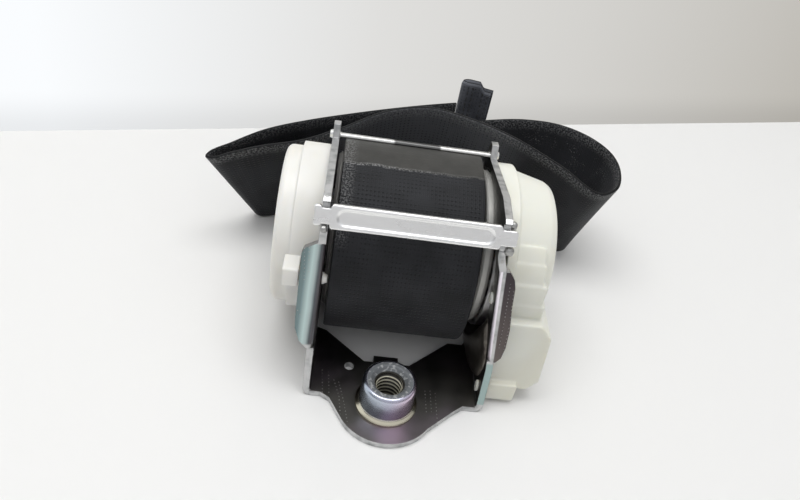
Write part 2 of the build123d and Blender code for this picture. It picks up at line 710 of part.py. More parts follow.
# Stitched end of the belt: doubled over, its two layers standing a little above the belt
end_fold = [(36.0, 131.4), (23.4, 132.4), (23.4, 134.6), (37.4, 134.4)]
with BuildPart() as webbing_end:
    with BuildSketch(Plane.XY.offset(0.8)):
        with BuildLine() as fold:
            FilletPolyline(*end_fold, radius=0.9)
        trace(fold.line, line_width=web_thick)
    extrude(amount=57.4)
    with BuildSketch(Plane(origin=(20, 120, 58.2), x_dir=(1, 0, 0), z_dir=(0, -1, 0))):
        with BuildLine():
            Polyline((-2, 3), (18.0, 3), (18.0, -3.8), (11.0, -2.9), (10.0, -0.4), (-2, 0.2), close=True)
        make_face()
    extrude(amount=-20, mode=Mode.SUBTRACT)
finish(webbing_end, "webbing_end")
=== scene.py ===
import bpy
import bmesh
from math import cos, hypot, pi, radians, sin, sqrt
from mathutils import Matrix, Vector, noise


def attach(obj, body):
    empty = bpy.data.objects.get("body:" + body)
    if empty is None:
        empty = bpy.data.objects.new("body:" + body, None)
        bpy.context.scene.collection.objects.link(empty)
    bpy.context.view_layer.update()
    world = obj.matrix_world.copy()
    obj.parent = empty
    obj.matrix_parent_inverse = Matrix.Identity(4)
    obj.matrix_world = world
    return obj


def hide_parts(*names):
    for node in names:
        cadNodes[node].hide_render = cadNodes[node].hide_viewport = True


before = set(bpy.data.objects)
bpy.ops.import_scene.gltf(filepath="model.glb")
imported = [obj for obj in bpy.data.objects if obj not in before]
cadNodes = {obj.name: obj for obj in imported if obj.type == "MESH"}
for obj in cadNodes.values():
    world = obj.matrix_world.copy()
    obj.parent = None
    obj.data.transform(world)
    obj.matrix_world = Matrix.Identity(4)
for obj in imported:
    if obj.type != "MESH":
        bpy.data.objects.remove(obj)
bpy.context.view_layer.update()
mm = 0.001
scene = bpy.context.scene
scene.view_settings.view_transform = "Standard"
print("packed model loaded,", len(cadNodes), "nodes")


def meshPiece(name, points, faces, smooth=True, uv=None, edges=()):
    # points in mm, uv in metres for each face corner
    mesh = bpy.data.meshes.new(name)
    mesh.from_pydata([(x * mm, y * mm, z * mm) for x, y, z in points], edges, faces)
    mesh.update()
    for face in mesh.polygons:
        face.use_smooth = smooth
    if uv:
        layer = mesh.uv_layers.new(name="belt")
        for corner, place in enumerate(uv):
            layer.data[corner].uv = place
    piece = bpy.data.objects.new(name, mesh)
    scene.collection.objects.link(piece)
    return piece


def outwards(piece):
    work = bmesh.new()
    work.from_mesh(piece.data)
    bmesh.ops.remove_doubles(work, verts=work.verts, dist=0.000004)
    bmesh.ops.recalc_face_normals(work, faces=work.faces)
    work.to_mesh(piece.data)
    work.free()
    return piece


def ringWalls(count, ring):
    # quads between each closed ring of points and the next one
    return [(i * ring + j, i * ring + (j + 1) % ring, (i + 1) * ring + (j + 1) % ring, (i + 1) * ring + j)
            for i in range(count - 1) for j in range(ring)]


def asMesh(piece):
    # the finished surface of a piece with modifiers, as a plain mesh
    view = bpy.context.evaluated_depsgraph_get()
    mesh = bpy.data.meshes.new_from_object(piece.evaluated_get(view))
    piece.modifiers.clear()
    piece.data = mesh
    return piece


def smoothed(piece, smooth=True):
    for face in piece.data.polygons:
        face.use_smooth = smooth
    return piece


def dress(piece, material):
    piece.data.materials.clear()
    piece.data.materials.append(material)
    return piece


def alongLines(name, lines, sizes, look):
    # Geometry Nodes: small rounded bodies at even steps along lines, turned with them; one plain mesh
    points, cuts = [], []
    for line in lines:
        cuts += [(len(points) + i, len(points) + i + 1) for i in range(len(line) - 1)]
        points += line
    piece = meshPiece(name, points, [], edges=cuts)
    tree = bpy.data.node_groups.new(name + "Rows", "GeometryNodeTree")
    face = tree.interface
    face.new_socket("Geometry", in_out="INPUT", socket_type="NodeSocketGeometry")
    inputs = {}
    for label in ("pitch", "long", "wide", "high", "scatter"):
        inputs[label] = face.new_socket(label, in_out="INPUT", socket_type="NodeSocketFloat")
    face.new_socket("Geometry", in_out="OUTPUT", socket_type="NodeSocketGeometry")
    given, end = tree.nodes.new("NodeGroupInput").outputs, tree.nodes.new("NodeGroupOutput")
    curve = made(tree, "GeometryNodeMeshToCurve", {0: given["Geometry"]})
    even = made(tree, "GeometryNodeResampleCurve", {"Curve": curve.outputs[0], "Length": given["pitch"]},
                mode="LENGTH")
    tangent = made(tree, "GeometryNodeInputTangent")
    turned = made(tree, "FunctionNodeAlignEulerToVector", {"Vector": tangent.outputs[0]}, axis="X")
    body = made(tree, "GeometryNodeMeshIcoSphere", {"Subdivisions": 2, "Radius": 0.5})
    size = put(tree, "CombineXYZ", {0: given["long"], 1: given["wide"], 2: given["high"]})
    less = put(tree, "Math", {0: 1.0, 1: given["scatter"]}, operation="SUBTRACT")
    chance = made(tree, "FunctionNodeRandomValue", {2: less.outputs[0], 3: 1.0, "Seed": 7},
                  data_type="FLOAT")
    grow = put(tree, "VectorMath", {0: size.outputs[0], "Scale": chance.outputs[1]}, operation="SCALE")
    place = made(tree, "GeometryNodeInstanceOnPoints", {
        "Points": even.outputs[0], "Instance": body.outputs["Mesh"], "Rotation": turned.outputs[0],
        "Scale": grow.outputs[0]})
    solid = made(tree, "GeometryNodeRealizeInstances", {0: place.outputs[0]})
    paint = made(tree, "GeometryNodeSetMaterial", {"Geometry": solid.outputs[0], "Material": look})
    tree.links.new(paint.outputs[0], end.inputs[0])
    rows = piece.modifiers.new("rows", "NODES")
    rows.node_group = tree
    for label, socket in inputs.items():
        rows[socket.identifier] = sizes[label] * (1.0 if label == "scatter" else mm)
    return smoothed(asMesh(piece))


def curveThrough(points, step):
    # even steps along a smooth curve through points of any number of values, chord-length spaced
    count = len(points)
    size = len(points[0])
    at = [0.0]
    for a, b in zip(points, points[1:]):
        at.append(at[-1] + max(1e-6, sqrt(sum((p - q) ** 2 for p, q in zip(a, b)))))
    slopes = []
    for i in range(count):
        lo, hi = max(i - 1, 0), min(i + 1, count - 1)
        if lo == i or hi == i:
            slopes.append([(points[hi][k] - points[lo][k]) / (at[hi] - at[lo]) for k in range(size)])
            continue
        before, after = at[i] - at[lo], at[hi] - at[i]
        slopes.append([((points[i][k] - points[lo][k]) / before * after
                        + (points[hi][k] - points[i][k]) / after * before) / (before + after)
                       for k in range(size)])
    result = []
    for i in range(count - 1):
        span = at[i + 1] - at[i]
        steps = max(1, round(span / step))
        for j in range(steps + (1 if i == count - 2 else 0)):
            t = j / steps
            a, b = points[i], points[i + 1]
            result.append(tuple(
                (2 * t ** 3 - 3 * t ** 2 + 1) * a[k] + (t ** 3 - 2 * t ** 2 + t) * span * slopes[i][k]
                + (3 * t ** 2 - 2 * t ** 3) * b[k] + (t ** 3 - t ** 2) * span * slopes[i + 1][k]
                for k in range(size)))
    return result


def finishOf(name):
    material = bpy.data.materials.new(name)
    material.use_nodes = True
    return material, material.node_tree, material.node_tree.nodes["Principled BSDF"]


def fill(tree, node, sockets):
    for name, value in sockets.items():
        if isinstance(value, bpy.types.NodeSocket):
            tree.links.new(value, node.inputs[name])
        else:
            node.inputs[name].default_value = value


def made(tree, kind, sockets=None, **settings):
    node = tree.nodes.new(kind)
    for name, value in settings.items():
        setattr(node, name, value)
    fill(tree, node, sockets or {})
    return node


def put(tree, kind, sockets=None, **settings):
    return made(tree, "ShaderNode" + kind, sockets, **settings)


def calc(tree, operation, first, second=0.0):
    return put(tree, "Math", {0: first, 1: second}, operation=operation).outputs[0]


def mapped(tree, value, low, high, first=0.0, last=1.0):
    return put(tree, "MapRange", {"Value": value, "From Min": low, "From Max": high, "To Min": first,
                                  "To Max": last}).outputs[0]


def between(tree, value, low, high):
    # 0 below low, 1 above high, smooth between
    return put(tree, "MapRange", {"Value": value, "From Min": low, "From Max": high},
               interpolation_type="SMOOTHSTEP").outputs[0]


def tones(tree, factor, stops):
    ramp = put(tree, "ValToRGB", {"Fac": factor})
    marks = ramp.color_ramp.elements
    while len(marks) < len(stops):
        marks.new(0.5)
    for mark, (place, colour) in zip(marks, stops):
        mark.position = place
        mark.color = (*colour, 1)
    return ramp.outputs["Color"]


def blendOf(tree, factor, first, second, way="MIX"):
    first, second = ((*colour, 1) if isinstance(colour, tuple) else colour for colour in (first, second))
    return put(tree, "Mix", {0: factor, 6: first, 7: second}, data_type="RGBA", blend_type=way).outputs[2]


def grainOf(tree, place, scale, detail=3.0, roughness=0.5):
    return put(tree, "TexNoise", {"Vector": place, "Scale": scale, "Detail": detail,
                                  "Roughness": roughness}).outputs["Fac"]


def objectPlace(tree):
    return put(tree, "TexCoord").outputs["Object"]


def relief(tree, shader, height, distance, strength=1.0, edge=0.0):
    # edge: radius in mm by which sharp corners look rounded
    bump = put(tree, "Bump", {"Height": height, "Strength": strength, "Distance": distance * mm})
    if edge:
        corner = put(tree, "Bevel", {"Radius": edge * mm}, samples=4)
        tree.links.new(corner.outputs[0], bump.inputs["Normal"])
    tree.links.new(bump.outputs["Normal"], shader.inputs["Normal"])


def millimetres(tree):
    # object coordinates in mm, and the surface's own direction
    place = put(tree, "TexCoord")
    spot = put(tree, "VectorMath", {0: place.outputs["Object"], "Scale": 1000.0}, operation="SCALE")
    return (put(tree, "SeparateXYZ", {0: spot.outputs[0]}).outputs,
            put(tree, "SeparateXYZ", {0: place.outputs["Normal"]}).outputs)


def distance(tree, across, along):
    flat = put(tree, "CombineXYZ", {0: across, 1: along}).outputs[0]
    return put(tree, "VectorMath", {0: flat}, operation="LENGTH").outputs["Value"]


def times(tree, first, *factors):
    for factor in factors:
        first = calc(tree, "MULTIPLY", first, factor)
    return first


def plus(tree, first, second):
    return calc(tree, "ADD", first, second)


def minus(tree, first, second):
    return calc(tree, "SUBTRACT", first, second)


def inverse(tree, value):
    return minus(tree, 1.0, value)


def under(tree, value, full, none):
    # 1 below full, 0 above none
    return between(tree, times(tree, value, -1.0), -none, -full)


def within(tree, value, rise, fall):
    # 1 from the end of rise to the start of fall
    return times(tree, between(tree, value, *rise), inverse(tree, between(tree, value, *fall)))


belt = {
    "width": 47.0,
    "thick": 1.2,
    "pitAcross": 1.30,     # columns of the weave, mm
    "pitAlong": 1.55,      # rows of the weave, mm
    "selvedge": 1.5,
    "dark": (0.009, 0.0095, 0.011),
    "light": (0.024, 0.025, 0.0285),
    "rubbed": (0.046, 0.045, 0.041),
    "lint": (0.32, 0.32, 0.32),
    "paintedLight": (0.094, 0.097, 0.104),
    # X, Y and Z of the free belt's patch of painted light
    "paintedLightPlace": (((-42.0, -20.0), (34.0, 50.0)), ((83.0, 85.0), (101.0, 104.0)), (20.0, 34.0)),
    "clean": (330.0, 345.0),      # lengths between which the lint ends, mm
}


# the wear factor scales both the lint of real wear and a patch of painted light
def beltCloth(name, wearAndPaintedLight=0.0, paintedLightGain=1.0, crease=None, barAt=None, sheen=0.1):
    # crease, barAt: lengths along the belt, in mm, between which the weave is rubbed flat
    material, tree, shader = finishOf(name)
    uv = put(tree, "SeparateXYZ", {0: put(tree, "UVMap", uv_map="belt").outputs[0]})
    u = times(tree, uv.outputs[0], 1000.0)
    v = times(tree, uv.outputs[1], 1000.0)
    place = put(tree, "CombineXYZ", {0: u, 1: v}).outputs[0]
    spot, _ = millimetres(tree)
    broad = grainOf(tree, place, 0.05, 4.0)
    patchy = grainOf(tree, place, 0.16, 3.0)
    fine = grainOf(tree, place, 1.1, 2.0)
    column = minus(tree, calc(tree, "FRACT", calc(tree, "DIVIDE", u, belt["pitAcross"])), 0.5)
    row = minus(tree, calc(tree, "FRACT", calc(tree, "DIVIDE", v, belt["pitAlong"])), 0.5)
    pit = plus(tree, times(tree, column, column, 1.6), times(tree, row, row, 2.4))
    pit = under(tree, pit, 0.02, 0.16)
    edge = between(tree, calc(tree, "ABSOLUTE", u), belt["width"] / 2 - belt["selvedge"],
                   belt["width"] / 2 - belt["selvedge"] + 0.3)
    pit = times(tree, pit, inverse(tree, edge), between(tree, patchy, 0.30, 0.60))
    yarn = calc(tree, "ABSOLUTE", calc(tree, "SINE", times(tree, u, pi / 0.65)))
    cord = calc(tree, "ABSOLUTE", calc(tree, "SINE", times(tree, v, pi / 0.775)))
    height = plus(tree, times(tree, yarn, 0.35), times(tree, cord, 0.25))
    height = minus(tree, plus(tree, height, times(tree, fine, 0.5)),
                  times(tree, pit, 0.8))
    # the gain lightens the cloth's colours: painted light where a piece gets little light
    dark, light = (tuple(c * paintedLightGain for c in belt[key]) for key in ("dark", "light"))
    shade = blendOf(tree, between(tree, broad, 0.3, 0.7), dark, light)
    across, deep, high = belt["paintedLightPlace"]
    # painted light: a patch of the free belt's dim upright face behind the retractor is lightened
    raised = times(tree, within(tree, spot[1], *deep), between(tree, spot[2], *high),
                   within(tree, spot[0], *across), wearAndPaintedLight)
    shade = blendOf(tree, raised, shade, belt["paintedLight"])
    half = belt["width"] / 2
    # painted shade: the narrow edge face of each selvedge is darkened
    rim = between(tree, calc(tree, "ABSOLUTE", u), half - 0.45, half - 0.1)
    shade = blendOf(tree, rim, shade, tuple(c * 0.4 for c in belt["dark"]))
    # painted shade in the pits of the weave
    shade = blendOf(tree, times(tree, pit, 0.75), shade, tuple(c * 0.6 for c in dark))
    rough = plus(tree, times(tree, broad, 0.2), 0.48)
    lint = between(tree, grainOf(tree, place, 1.9, 1.0), 0.60, 0.72)
    bare = times(tree, lint, between(tree, patchy, 0.45, 0.75), between(tree, spot[0], 22.0, 50.0))
    bare = times(tree, bare, between(tree, spot[1], 74.0, 80.0),
                 inverse(tree, between(tree, v, *belt["clean"])), wearAndPaintedLight)
    if crease:
        wander = times(tree, minus(tree, grainOf(tree, put(
            tree, "CombineXYZ", {0: u}).outputs[0], 0.12, 2.0), 0.5), 3.0)
        along = minus(tree, v, plus(tree, wander, crease))
        flat = times(tree, between(tree, along, -0.6, 0.5),
                     under(tree, v, barAt, barAt + 3.0))
        height = times(tree, height, inverse(tree, times(tree, flat, 0.8)))
        worn = blendOf(tree, between(tree, patchy, 0.3, 0.7), belt["rubbed"],
                       tuple(c * 1.35 for c in belt["rubbed"]))
        shade = blendOf(tree, times(tree, flat, 0.85), shade, worn)
        rough = minus(tree, rough, times(tree, flat, 0.10))
        fold = under(tree, calc(tree, "ABSOLUTE", along), 0.2, 1.0)
        left = between(tree, u, -22.0, 20.0)
        specks = between(tree, grainOf(tree, place, 1.5, 2.0), 0.44, 0.60)
        bare = calc(tree, "MAXIMUM", bare, times(tree, fold, specks, plus(tree, left, 0.25), 0.55))
        height = plus(tree, height, times(tree, fold, 1.2))
        stray = times(tree, between(tree, u, 18.0, 21.5),
                      between(tree, along, -32.0, -24.0), specks, 0.35)
        bare = calc(tree, "MAXIMUM", bare, stray)
    bare = times(tree, calc(tree, "MINIMUM", bare, 1.0), inverse(tree, rim))
    shade = blendOf(tree, bare, shade, belt["lint"])
    fill(tree, shader, {"Base Color": shade, "Roughness": rough, "Specular IOR Level": 0.22,
                        "Sheen Weight": sheen, "Sheen Roughness": 0.35})
    relief(tree, shader, height, 0.16, 0.85)
    return material


frameSteel = {
    "plate": ((0.0, (0.11, 0.105, 0.10)), (0.38, (0.15, 0.145, 0.135)), (0.52, (0.19, 0.165, 0.185)),
              (0.66, (0.19, 0.18, 0.155)), (0.85, (0.16, 0.165, 0.165))),
    "cut": (0.58, 0.58, 0.58),
    "cutDull": (0.30, 0.31, 0.31),
    "strip": (0.36, 0.46, 0.45),
    # painted reflection: the left flange's teal, with light and dark bands towards its bend
    "leftFlangeReflection": ((0.0, (0.14, 0.18, 0.18)), (0.42, (0.20, 0.27, 0.28)), (0.62, (0.52, 0.64, 0.63)),
                   (0.74, (0.42, 0.50, 0.50)), (0.84, (0.10, 0.11, 0.12)), (0.93, (0.14, 0.13, 0.14)),
                   (1.0, (0.42, 0.42, 0.42))),
    "rightFlange": ((0.0, (0.060, 0.050, 0.055)), (1.0, (0.14, 0.12, 0.115))),
    "blush": ((1.5, -13.5), 8.5),      # purplish patch in front of the bush: place and radius, mm
    "earFace": (18.0, 55.5, 33.7, 30.2),   # heights of the right ear's slope, and its outer face there
}


def passivatedSteel():
    f = frameSteel
    material, tree, shader = finishOf("passivatedSteel")
    place = objectPlace(tree)
    spot, way = millimetres(tree)
    x, y, z = spot
    film = plus(tree, times(tree, grainOf(tree, place, 38.0, 3.0), 0.8), times(tree, way[0], 0.12))
    shade = tones(tree, film, f["plate"])
    centre, reach = f["blush"]
    off = distance(tree, minus(tree, x, centre[0]), minus(tree, y, centre[1]))
    blush = times(tree, under(tree, off, 1.0, reach),
                  between(tree, way[2], 0.8, 0.95), under(tree, z, 2.5, 3.0))
    shade = blendOf(tree, times(tree, blush, 0.6), shade, (0.40, 0.31, 0.38))
    facing = under(tree, way[1], -0.8, -0.5)
    earFace = mapped(tree, z, *f["earFace"])
    above = between(tree, z, 20.0, 21.0)
    right = times(tree, facing, above, between(tree, minus(tree, x, earFace), -0.3, 0.1))
    left = times(tree, facing, above, under(tree, x, -25.8, -25.6), under(tree, z, 57.0, 57.5))
    flat = inverse(tree, between(tree, calc(tree, "ABSOLUTE", way[0]), 0.3, 0.6))
    upright = inverse(tree, between(tree, calc(tree, "ABSOLUTE", way[2]), 0.5, 0.8))
    raised = between(tree, z, 3.2, 3.6)
    cut = plus(tree, times(tree, raised, flat), times(tree, inverse(tree, raised), upright))
    streak = grainOf(tree, place, 260.0, 2.0)
    bright = blendOf(tree, between(tree, streak, 0.25, 0.6), f["cutDull"], f["cut"])
    # painted highlight along the right ear's bend into its flange
    bendHighlight = times(tree, under(tree, way[0], -0.5, -0.3), under(tree, way[1], -0.5, -0.3),
                 between(tree, z, 21.0, 24.0), between(tree, x, 20.0, 22.0))
    low = times(tree, facing, raised, inverse(tree, above), between(tree, x, 20.0, 22.0))
    bright = blendOf(tree, low, bright, f["strip"])
    shade = blendOf(tree, cut, shade, bright)
    fade = mapped(tree, z, 58.0, 22.0)
    fade = plus(tree, fade, times(tree, minus(tree, grainOf(tree, place, 90.0, 3.0), 0.5), 0.6))
    over = mapped(tree, x, -36.0, -26.2)
    over = plus(tree, over, times(tree, minus(tree, fade, 0.5), 0.10))
    # painted reflection on the left flange
    shade = blendOf(tree, left, shade, tones(tree, over, f["leftFlangeReflection"]))
    shade = blendOf(tree, right, shade, tones(tree, fade, f["rightFlange"]))
    shade = blendOf(tree, bendHighlight, shade, (0.97, 0.92, 0.98))
    rough = plus(tree, times(tree, grainOf(tree, place, 160.0, 4.0), 0.22), 0.26)
    fill(tree, shader, {"Base Color": shade, "Roughness": rough, "Metallic": 1.0})
    relief(tree, shader, grainOf(tree, place, 520.0, 2.0), 0.008, 0.5, edge=0.35)
    return material


def brightZinc(name, low, high, rough, mark=0.05, darkMiddle=None):
    material, tree, shader = finishOf(name)
    place = objectPlace(tree)
    stretched = put(tree, "Mapping", {"Vector": place, "Scale": (0.25, 1.0, 1.0)}).outputs[0]
    patches = grainOf(tree, stretched, 160.0, 4.0)
    shade = blendOf(tree, patches, low, high)
    # the bar is made darker across its middle, where the belt runs over it
    if darkMiddle:
        spot, _ = millimetres(tree)
        middle, half, middleTone = darkMiddle
        reach = under(tree, calc(tree, "ABSOLUTE", minus(tree, spot[0], middle)), half - 1.0, half)
        shade = blendOf(tree, times(tree, reach, 0.9), shade, middleTone)
    fill(tree, shader, {"Base Color": shade, "Roughness": plus(tree, times(tree, patches, 0.25), rough),
                        "Metallic": 1.0})
    relief(tree, shader, grainOf(tree, place, 700.0, 3.0), mark, 0.6, edge=0.2)
    return material


def tintedZinc():
    # bush: blue-violet passivation that yellows towards the collar; painted shade in the thread's grooves
    # and deeper down the bore, painted highlight on its crests
    material, tree, shader = finishOf("bushZinc")
    place = objectPlace(tree)
    spot, way = millimetres(tree)
    turn = plus(tree, times(tree, way[0], 0.34), 0.42)
    turn = plus(tree, turn, times(tree, grainOf(tree, place, 120.0, 2.0), 0.20))
    film = tones(tree, turn, ((0.0, (0.40, 0.46, 0.56)), (0.35, (0.48, 0.53, 0.61)),
                              (0.55, (0.52, 0.52, 0.63)), (0.72, (0.66, 0.54, 0.66)),
                              (0.9, (0.58, 0.52, 0.62))))
    collar = under(tree, spot[2], 3.6, 4.8)
    film = blendOf(tree, collar, film, (0.62, 0.58, 0.46))
    radius = distance(tree, spot[0], spot[1])
    top = times(tree, under(tree, radius, 7.6, 7.9), between(tree, spot[2], 11.6, 11.8))
    speck = between(tree, grainOf(tree, place, 900.0, 2.0), 0.52, 0.66)
    film = blendOf(tree, top, film, blendOf(tree, speck, (0.17, 0.18, 0.19), (0.42, 0.43, 0.43)))
    # painted shade in the thread's grooves and deeper down the bore, painted highlight on the crests
    bore = under(tree, radius, 5.05, 5.15)
    crest = under(tree, radius, bush["thread"] + bush["deep"] * 0.10, bush["thread"] + bush["deep"] * 0.42)
    shadeWithDepth = mapped(tree, spot[2], 3.0, 11.0, 0.25)
    bare = blendOf(tree, times(tree, crest, shadeWithDepth), (0.030, 0.027, 0.022), (1.0, 0.95, 0.76))
    film = blendOf(tree, bore, film, bare)
    dull = calc(tree, "MAXIMUM", times(tree, bore, 0.7), times(tree, top, 0.75))
    rough = plus(tree, times(tree, grainOf(tree, place, 300.0), 0.16), 0.14)
    fill(tree, shader, {"Base Color": film, "Metallic": inverse(tree, dull),
                        "Roughness": plus(tree, rough, times(tree, top, 0.2))})
    relief(tree, shader, grainOf(tree, place, 600.0, 3.0), 0.02, 0.6)
    return material


def mouldedNylon(name, pale, warm, rough=0.36):
    material, tree, shader = finishOf(name)
    place = objectPlace(tree)
    cloud = grainOf(tree, place, 34.0, 3.0)
    uneven = plus(tree, times(tree, grainOf(tree, place, 260.0), 0.14), rough - 0.07)
    fill(tree, shader, {"Base Color": blendOf(tree, between(tree, cloud, 0.35, 0.65), pale, warm),
                        "Roughness": uneven,
                        "Subsurface Weight": 0.35, "Subsurface Radius": (1.0, 0.9, 0.7),
                        "Subsurface Scale": 0.0022})
    relief(tree, shader, grainOf(tree, place, 1100.0, 2.0), 0.012, 0.5, edge=0.45)
    return material


def plainMetal(name, dark, light, rough, scale=240.0, metal=1.0):
    material, tree, shader = finishOf(name)
    place = objectPlace(tree)
    fill(tree, shader, {"Base Color": blendOf(tree, grainOf(tree, place, scale, 4.0), dark, light),
                        "Roughness": plus(tree, times(tree, grainOf(tree, place, scale * 2), 0.2), rough),
                        "Metallic": metal})
    relief(tree, shader, grainOf(tree, place, scale * 4, 3.0), 0.02, 0.6, edge=0.25)
    return material


frameTop = 2.3
bush = {"body": 9.2, "collar": 10.6, "height": 13.7, "mouth": 6.2, "thread": 4.25, "deep": 0.72,
        "pitch": 1.75, "sheet": 2.3, "spigot": 7.6}
looks = {
    "frame": passivatedSteel(),
    "tieBar": brightZinc("tieBarZinc", (0.86, 0.86, 0.86), (0.98, 0.98, 0.97), 0.16),
    # darker across the middle of the guide bar
    "guide": brightZinc("guideZinc", (0.78, 0.78, 0.76), (0.95, 0.95, 0.93), 0.2,
                        darkMiddle=(0.5, 8.5, (0.12, 0.12, 0.12))),
    "flare": plainMetal("flareSteel", (0.11, 0.10, 0.088), (0.21, 0.19, 0.165), 0.20, 60.0, 0.92),
    "knob": plainMetal("stakedSteel", (0.22, 0.22, 0.22), (0.62, 0.62, 0.60), 0.3, 420.0),
    "bush": tintedZinc(),
    "cupNylon": mouldedNylon("cupNylon", (0.84, 0.83, 0.79), (0.80, 0.78, 0.72)),
    "coverNylon": mouldedNylon("coverNylon", (0.82, 0.82, 0.74), (0.78, 0.77, 0.67), 0.32),
    "innerPlastic": mouldedNylon("innerPlastic", (0.55, 0.55, 0.52), (0.42, 0.42, 0.40), 0.45),
    "castAlloy": plainMetal("castAlloy", (0.44, 0.44, 0.42), (0.62, 0.61, 0.58), 0.42, 300.0, 0.75),
    "springSteel": plainMetal("springSteel", (0.20, 0.22, 0.26), (0.34, 0.36, 0.40), 0.25),
    "turnedSteel": plainMetal("turnedSteel", (0.45, 0.45, 0.45), (0.62, 0.62, 0.62), 0.25),
    "beltWound": beltCloth("woundBelt"),
    # painted light: the belt end's colours are raised 6.5 times for its dimly lit upright faces
    "beltEnd": beltCloth("beltEnd", paintedLightGain=6.5, sheen=0.25),
    "thread": plainMetal("stitchThread", (0.030, 0.029, 0.026), (0.055, 0.053, 0.048), 0.6, 600.0, 0.0),
    "stipple": plainMetal("stippleSteel", (0.30, 0.29, 0.28), (0.62, 0.60, 0.58), 0.35, 500.0),
}
wears = {
    "frame": "frame", "bearing_bush": "cupNylon", "spring_cup": "cupNylon", "spring_cover": "cupNylon",
    "power_spring": "springSteel", "ratchet_ring": "turnedSteel", "gear_case": "coverNylon",
    "mechanism_cover": "coverNylon", "sensor_housing": "innerPlastic", "spool": "castAlloy",
    "web_pin": "turnedSteel", "torsion_bar": "turnedSteel", "lock_base": "castAlloy",
    "spring_arbor": "innerPlastic", "lock_dog": "turnedSteel", "lock_gear": "innerPlastic",
    "sensor_lever": "innerPlastic", "sensor_ball": "turnedSteel", "guide_bar": "guide",
}
for nodeName, look in wears.items():
    dress(cadNodes[nodeName], looks[look])
print("materials made,", len(looks))


slackTurn = {"middle": (44.2, 36.4), "radius": 31.4, "rollRadius": 28.0, "axis": (45.6, 38.2),
             "creaseY": 42.6, "barY": 60.0, "aside": -0.6}
downTheBack = [(46.0, 68.0), (52.5, 68.1), (57.3, 67.25), (60.8, 65.4), (64.8, 62.2), (71.0, 54.4),
               (75.8, 45.0), (79.4, 33.0), (82.6, 18.0)]
onTheFloor = [   # upper edge, lower edge
    ((-20.5, 93.5, 7.6), (26.0, 85.5, 5.2)),
    ((-9.0, 108.0, 9.0), (33.5, 93.5, 1.2)),
    ((5.0, 119.5, 25.0), (38.5, 104.5, 0.8)),
    ((21.5, 125.5, 38.0), (44.5, 113.5, 0.8)),
    ((37.5, 126.0, 44.5), (52.0, 118.5, 0.8)),
    ((53.0, 127.0, 46.6), (60.0, 121.2, 0.8)),
    ((68.0, 126.0, 46.8), (68.8, 119.0, 0.8)),
    ((80.6, 119.0, 46.4), (76.6, 112.0, 0.8)),
    ((87.3, 108.4, 46.0), (80.0, 105.0, 0.8)),
    ((88.6, 95.5, 45.6), (79.6, 99.6, 0.8)),
    ((85.8, 84.5, 45.2), (76.6, 96.2, 0.8)),
    ((80.2, 79.6, 46.0), (71.0, 94.8, 0.8)),
    ((60.2, 85.0, 51.8), (54.5, 96.4, 6.6)),
    ((38.7, 90.0, 59.2), (36.0, 98.0, 13.0)),
    ((22.8, 93.0, 62.3), (22.0, 99.4, 15.8)),
    ((6.6, 94.0, 64.1), (6.6, 100.0, 17.5)),
    ((-7.6, 92.0, 62.0), (-7.0, 99.2, 15.6)),
    ((-26.7, 87.0, 53.8), (-25.0, 97.4, 8.0)),
    ((-41.2, 84.0, 48.0), (-38.6, 96.8, 2.8)),
    ((-55.2, 81.4, 44.8), (-49.6, 96.8, 1.0)),
    ((-66.5, 77.6, 42.6), (-54.4, 95.4, 0.8)),
    ((-73.4, 76.4, 39.6), (-57.0, 95.4, 0.8)),
    ((-75.0, 77.6, 39.2), (-58.2, 96.4, 0.8)),
    ((-74.6, 79.4, 39.2), (-58.0, 98.0, 0.8)),
    ((-67.3, 84.4, 42.6), (-53.4, 101.0, 0.8)),
    ((-56.8, 91.8, 44.6), (-47.5, 104.0, 0.8)),
    ((-39.1, 101.6, 45.8), (-35.6, 108.8, 0.8)),
    ((-23.4, 109.9, 46.4), (-22.0, 114.4, 0.8)),
    ((-6.9, 118.4, 46.8), (-6.4, 121.0, 0.8)),
    ((10.4, 126.6, 47.0), (10.2, 127.6, 0.8)),
    ((22.0, 131.6, 47.2), (22.0, 131.6, 0.8)),
]


def around(middle, radius, angle):
    return (middle[0] + radius * cos(radians(angle)), middle[1] + radius * sin(radians(angle)))


def beltStrip(name, stations, look, fromLength=0.0):
    # stations: (upper edge, lower edge) every millimetre or two; a closed strip with rounded selvedges
    half, thick = belt["width"] / 2, belt["thick"] / 2
    columns = 22
    profile = []
    for side in (1, -1):
        for j in range(columns + 1):
            s = -1 + 2 * j / columns
            s = (1 - (1 - abs(s)) ** 2.2) * (1 if s > 0 else -1)      # columns crowd towards the selvedges
            profile.append((side * s * half, side * thick * (1 - abs(s) ** 120) ** 0.5))
    middles, acrosses = [], []
    for upper, lower in stations:
        upper, lower = Vector(upper), Vector(lower)
        across = (upper - lower).normalized()
        acrosses.append(across)
        middles.append(lower + across * half)
    points, run, lengths = [], fromLength, []
    count, ring = len(middles), len(profile)
    for i in range(count):
        if i:
            run += (middles[i] - middles[i - 1]).length
        lengths.append(run)
        along = middles[min(i + 1, count - 1)] - middles[max(i - 1, 0)]
        normal = acrosses[i].cross(along).normalized()
        for s, t in profile:
            points.append(middles[i] + acrosses[i] * s + normal * t)
    faces = ringWalls(count, ring)
    for i, order in ((0, range(ring - 1, -1, -1)), (count - 1, range(ring))):
        faces.append(tuple(i * ring + j for j in order))
    uv = [(profile[k % ring][0] * mm, lengths[k // ring] * mm) for face in faces for k in face]
    piece = dress(outwards(meshPiece(name, points, faces, uv=uv)), look)
    return piece, run - fromLength


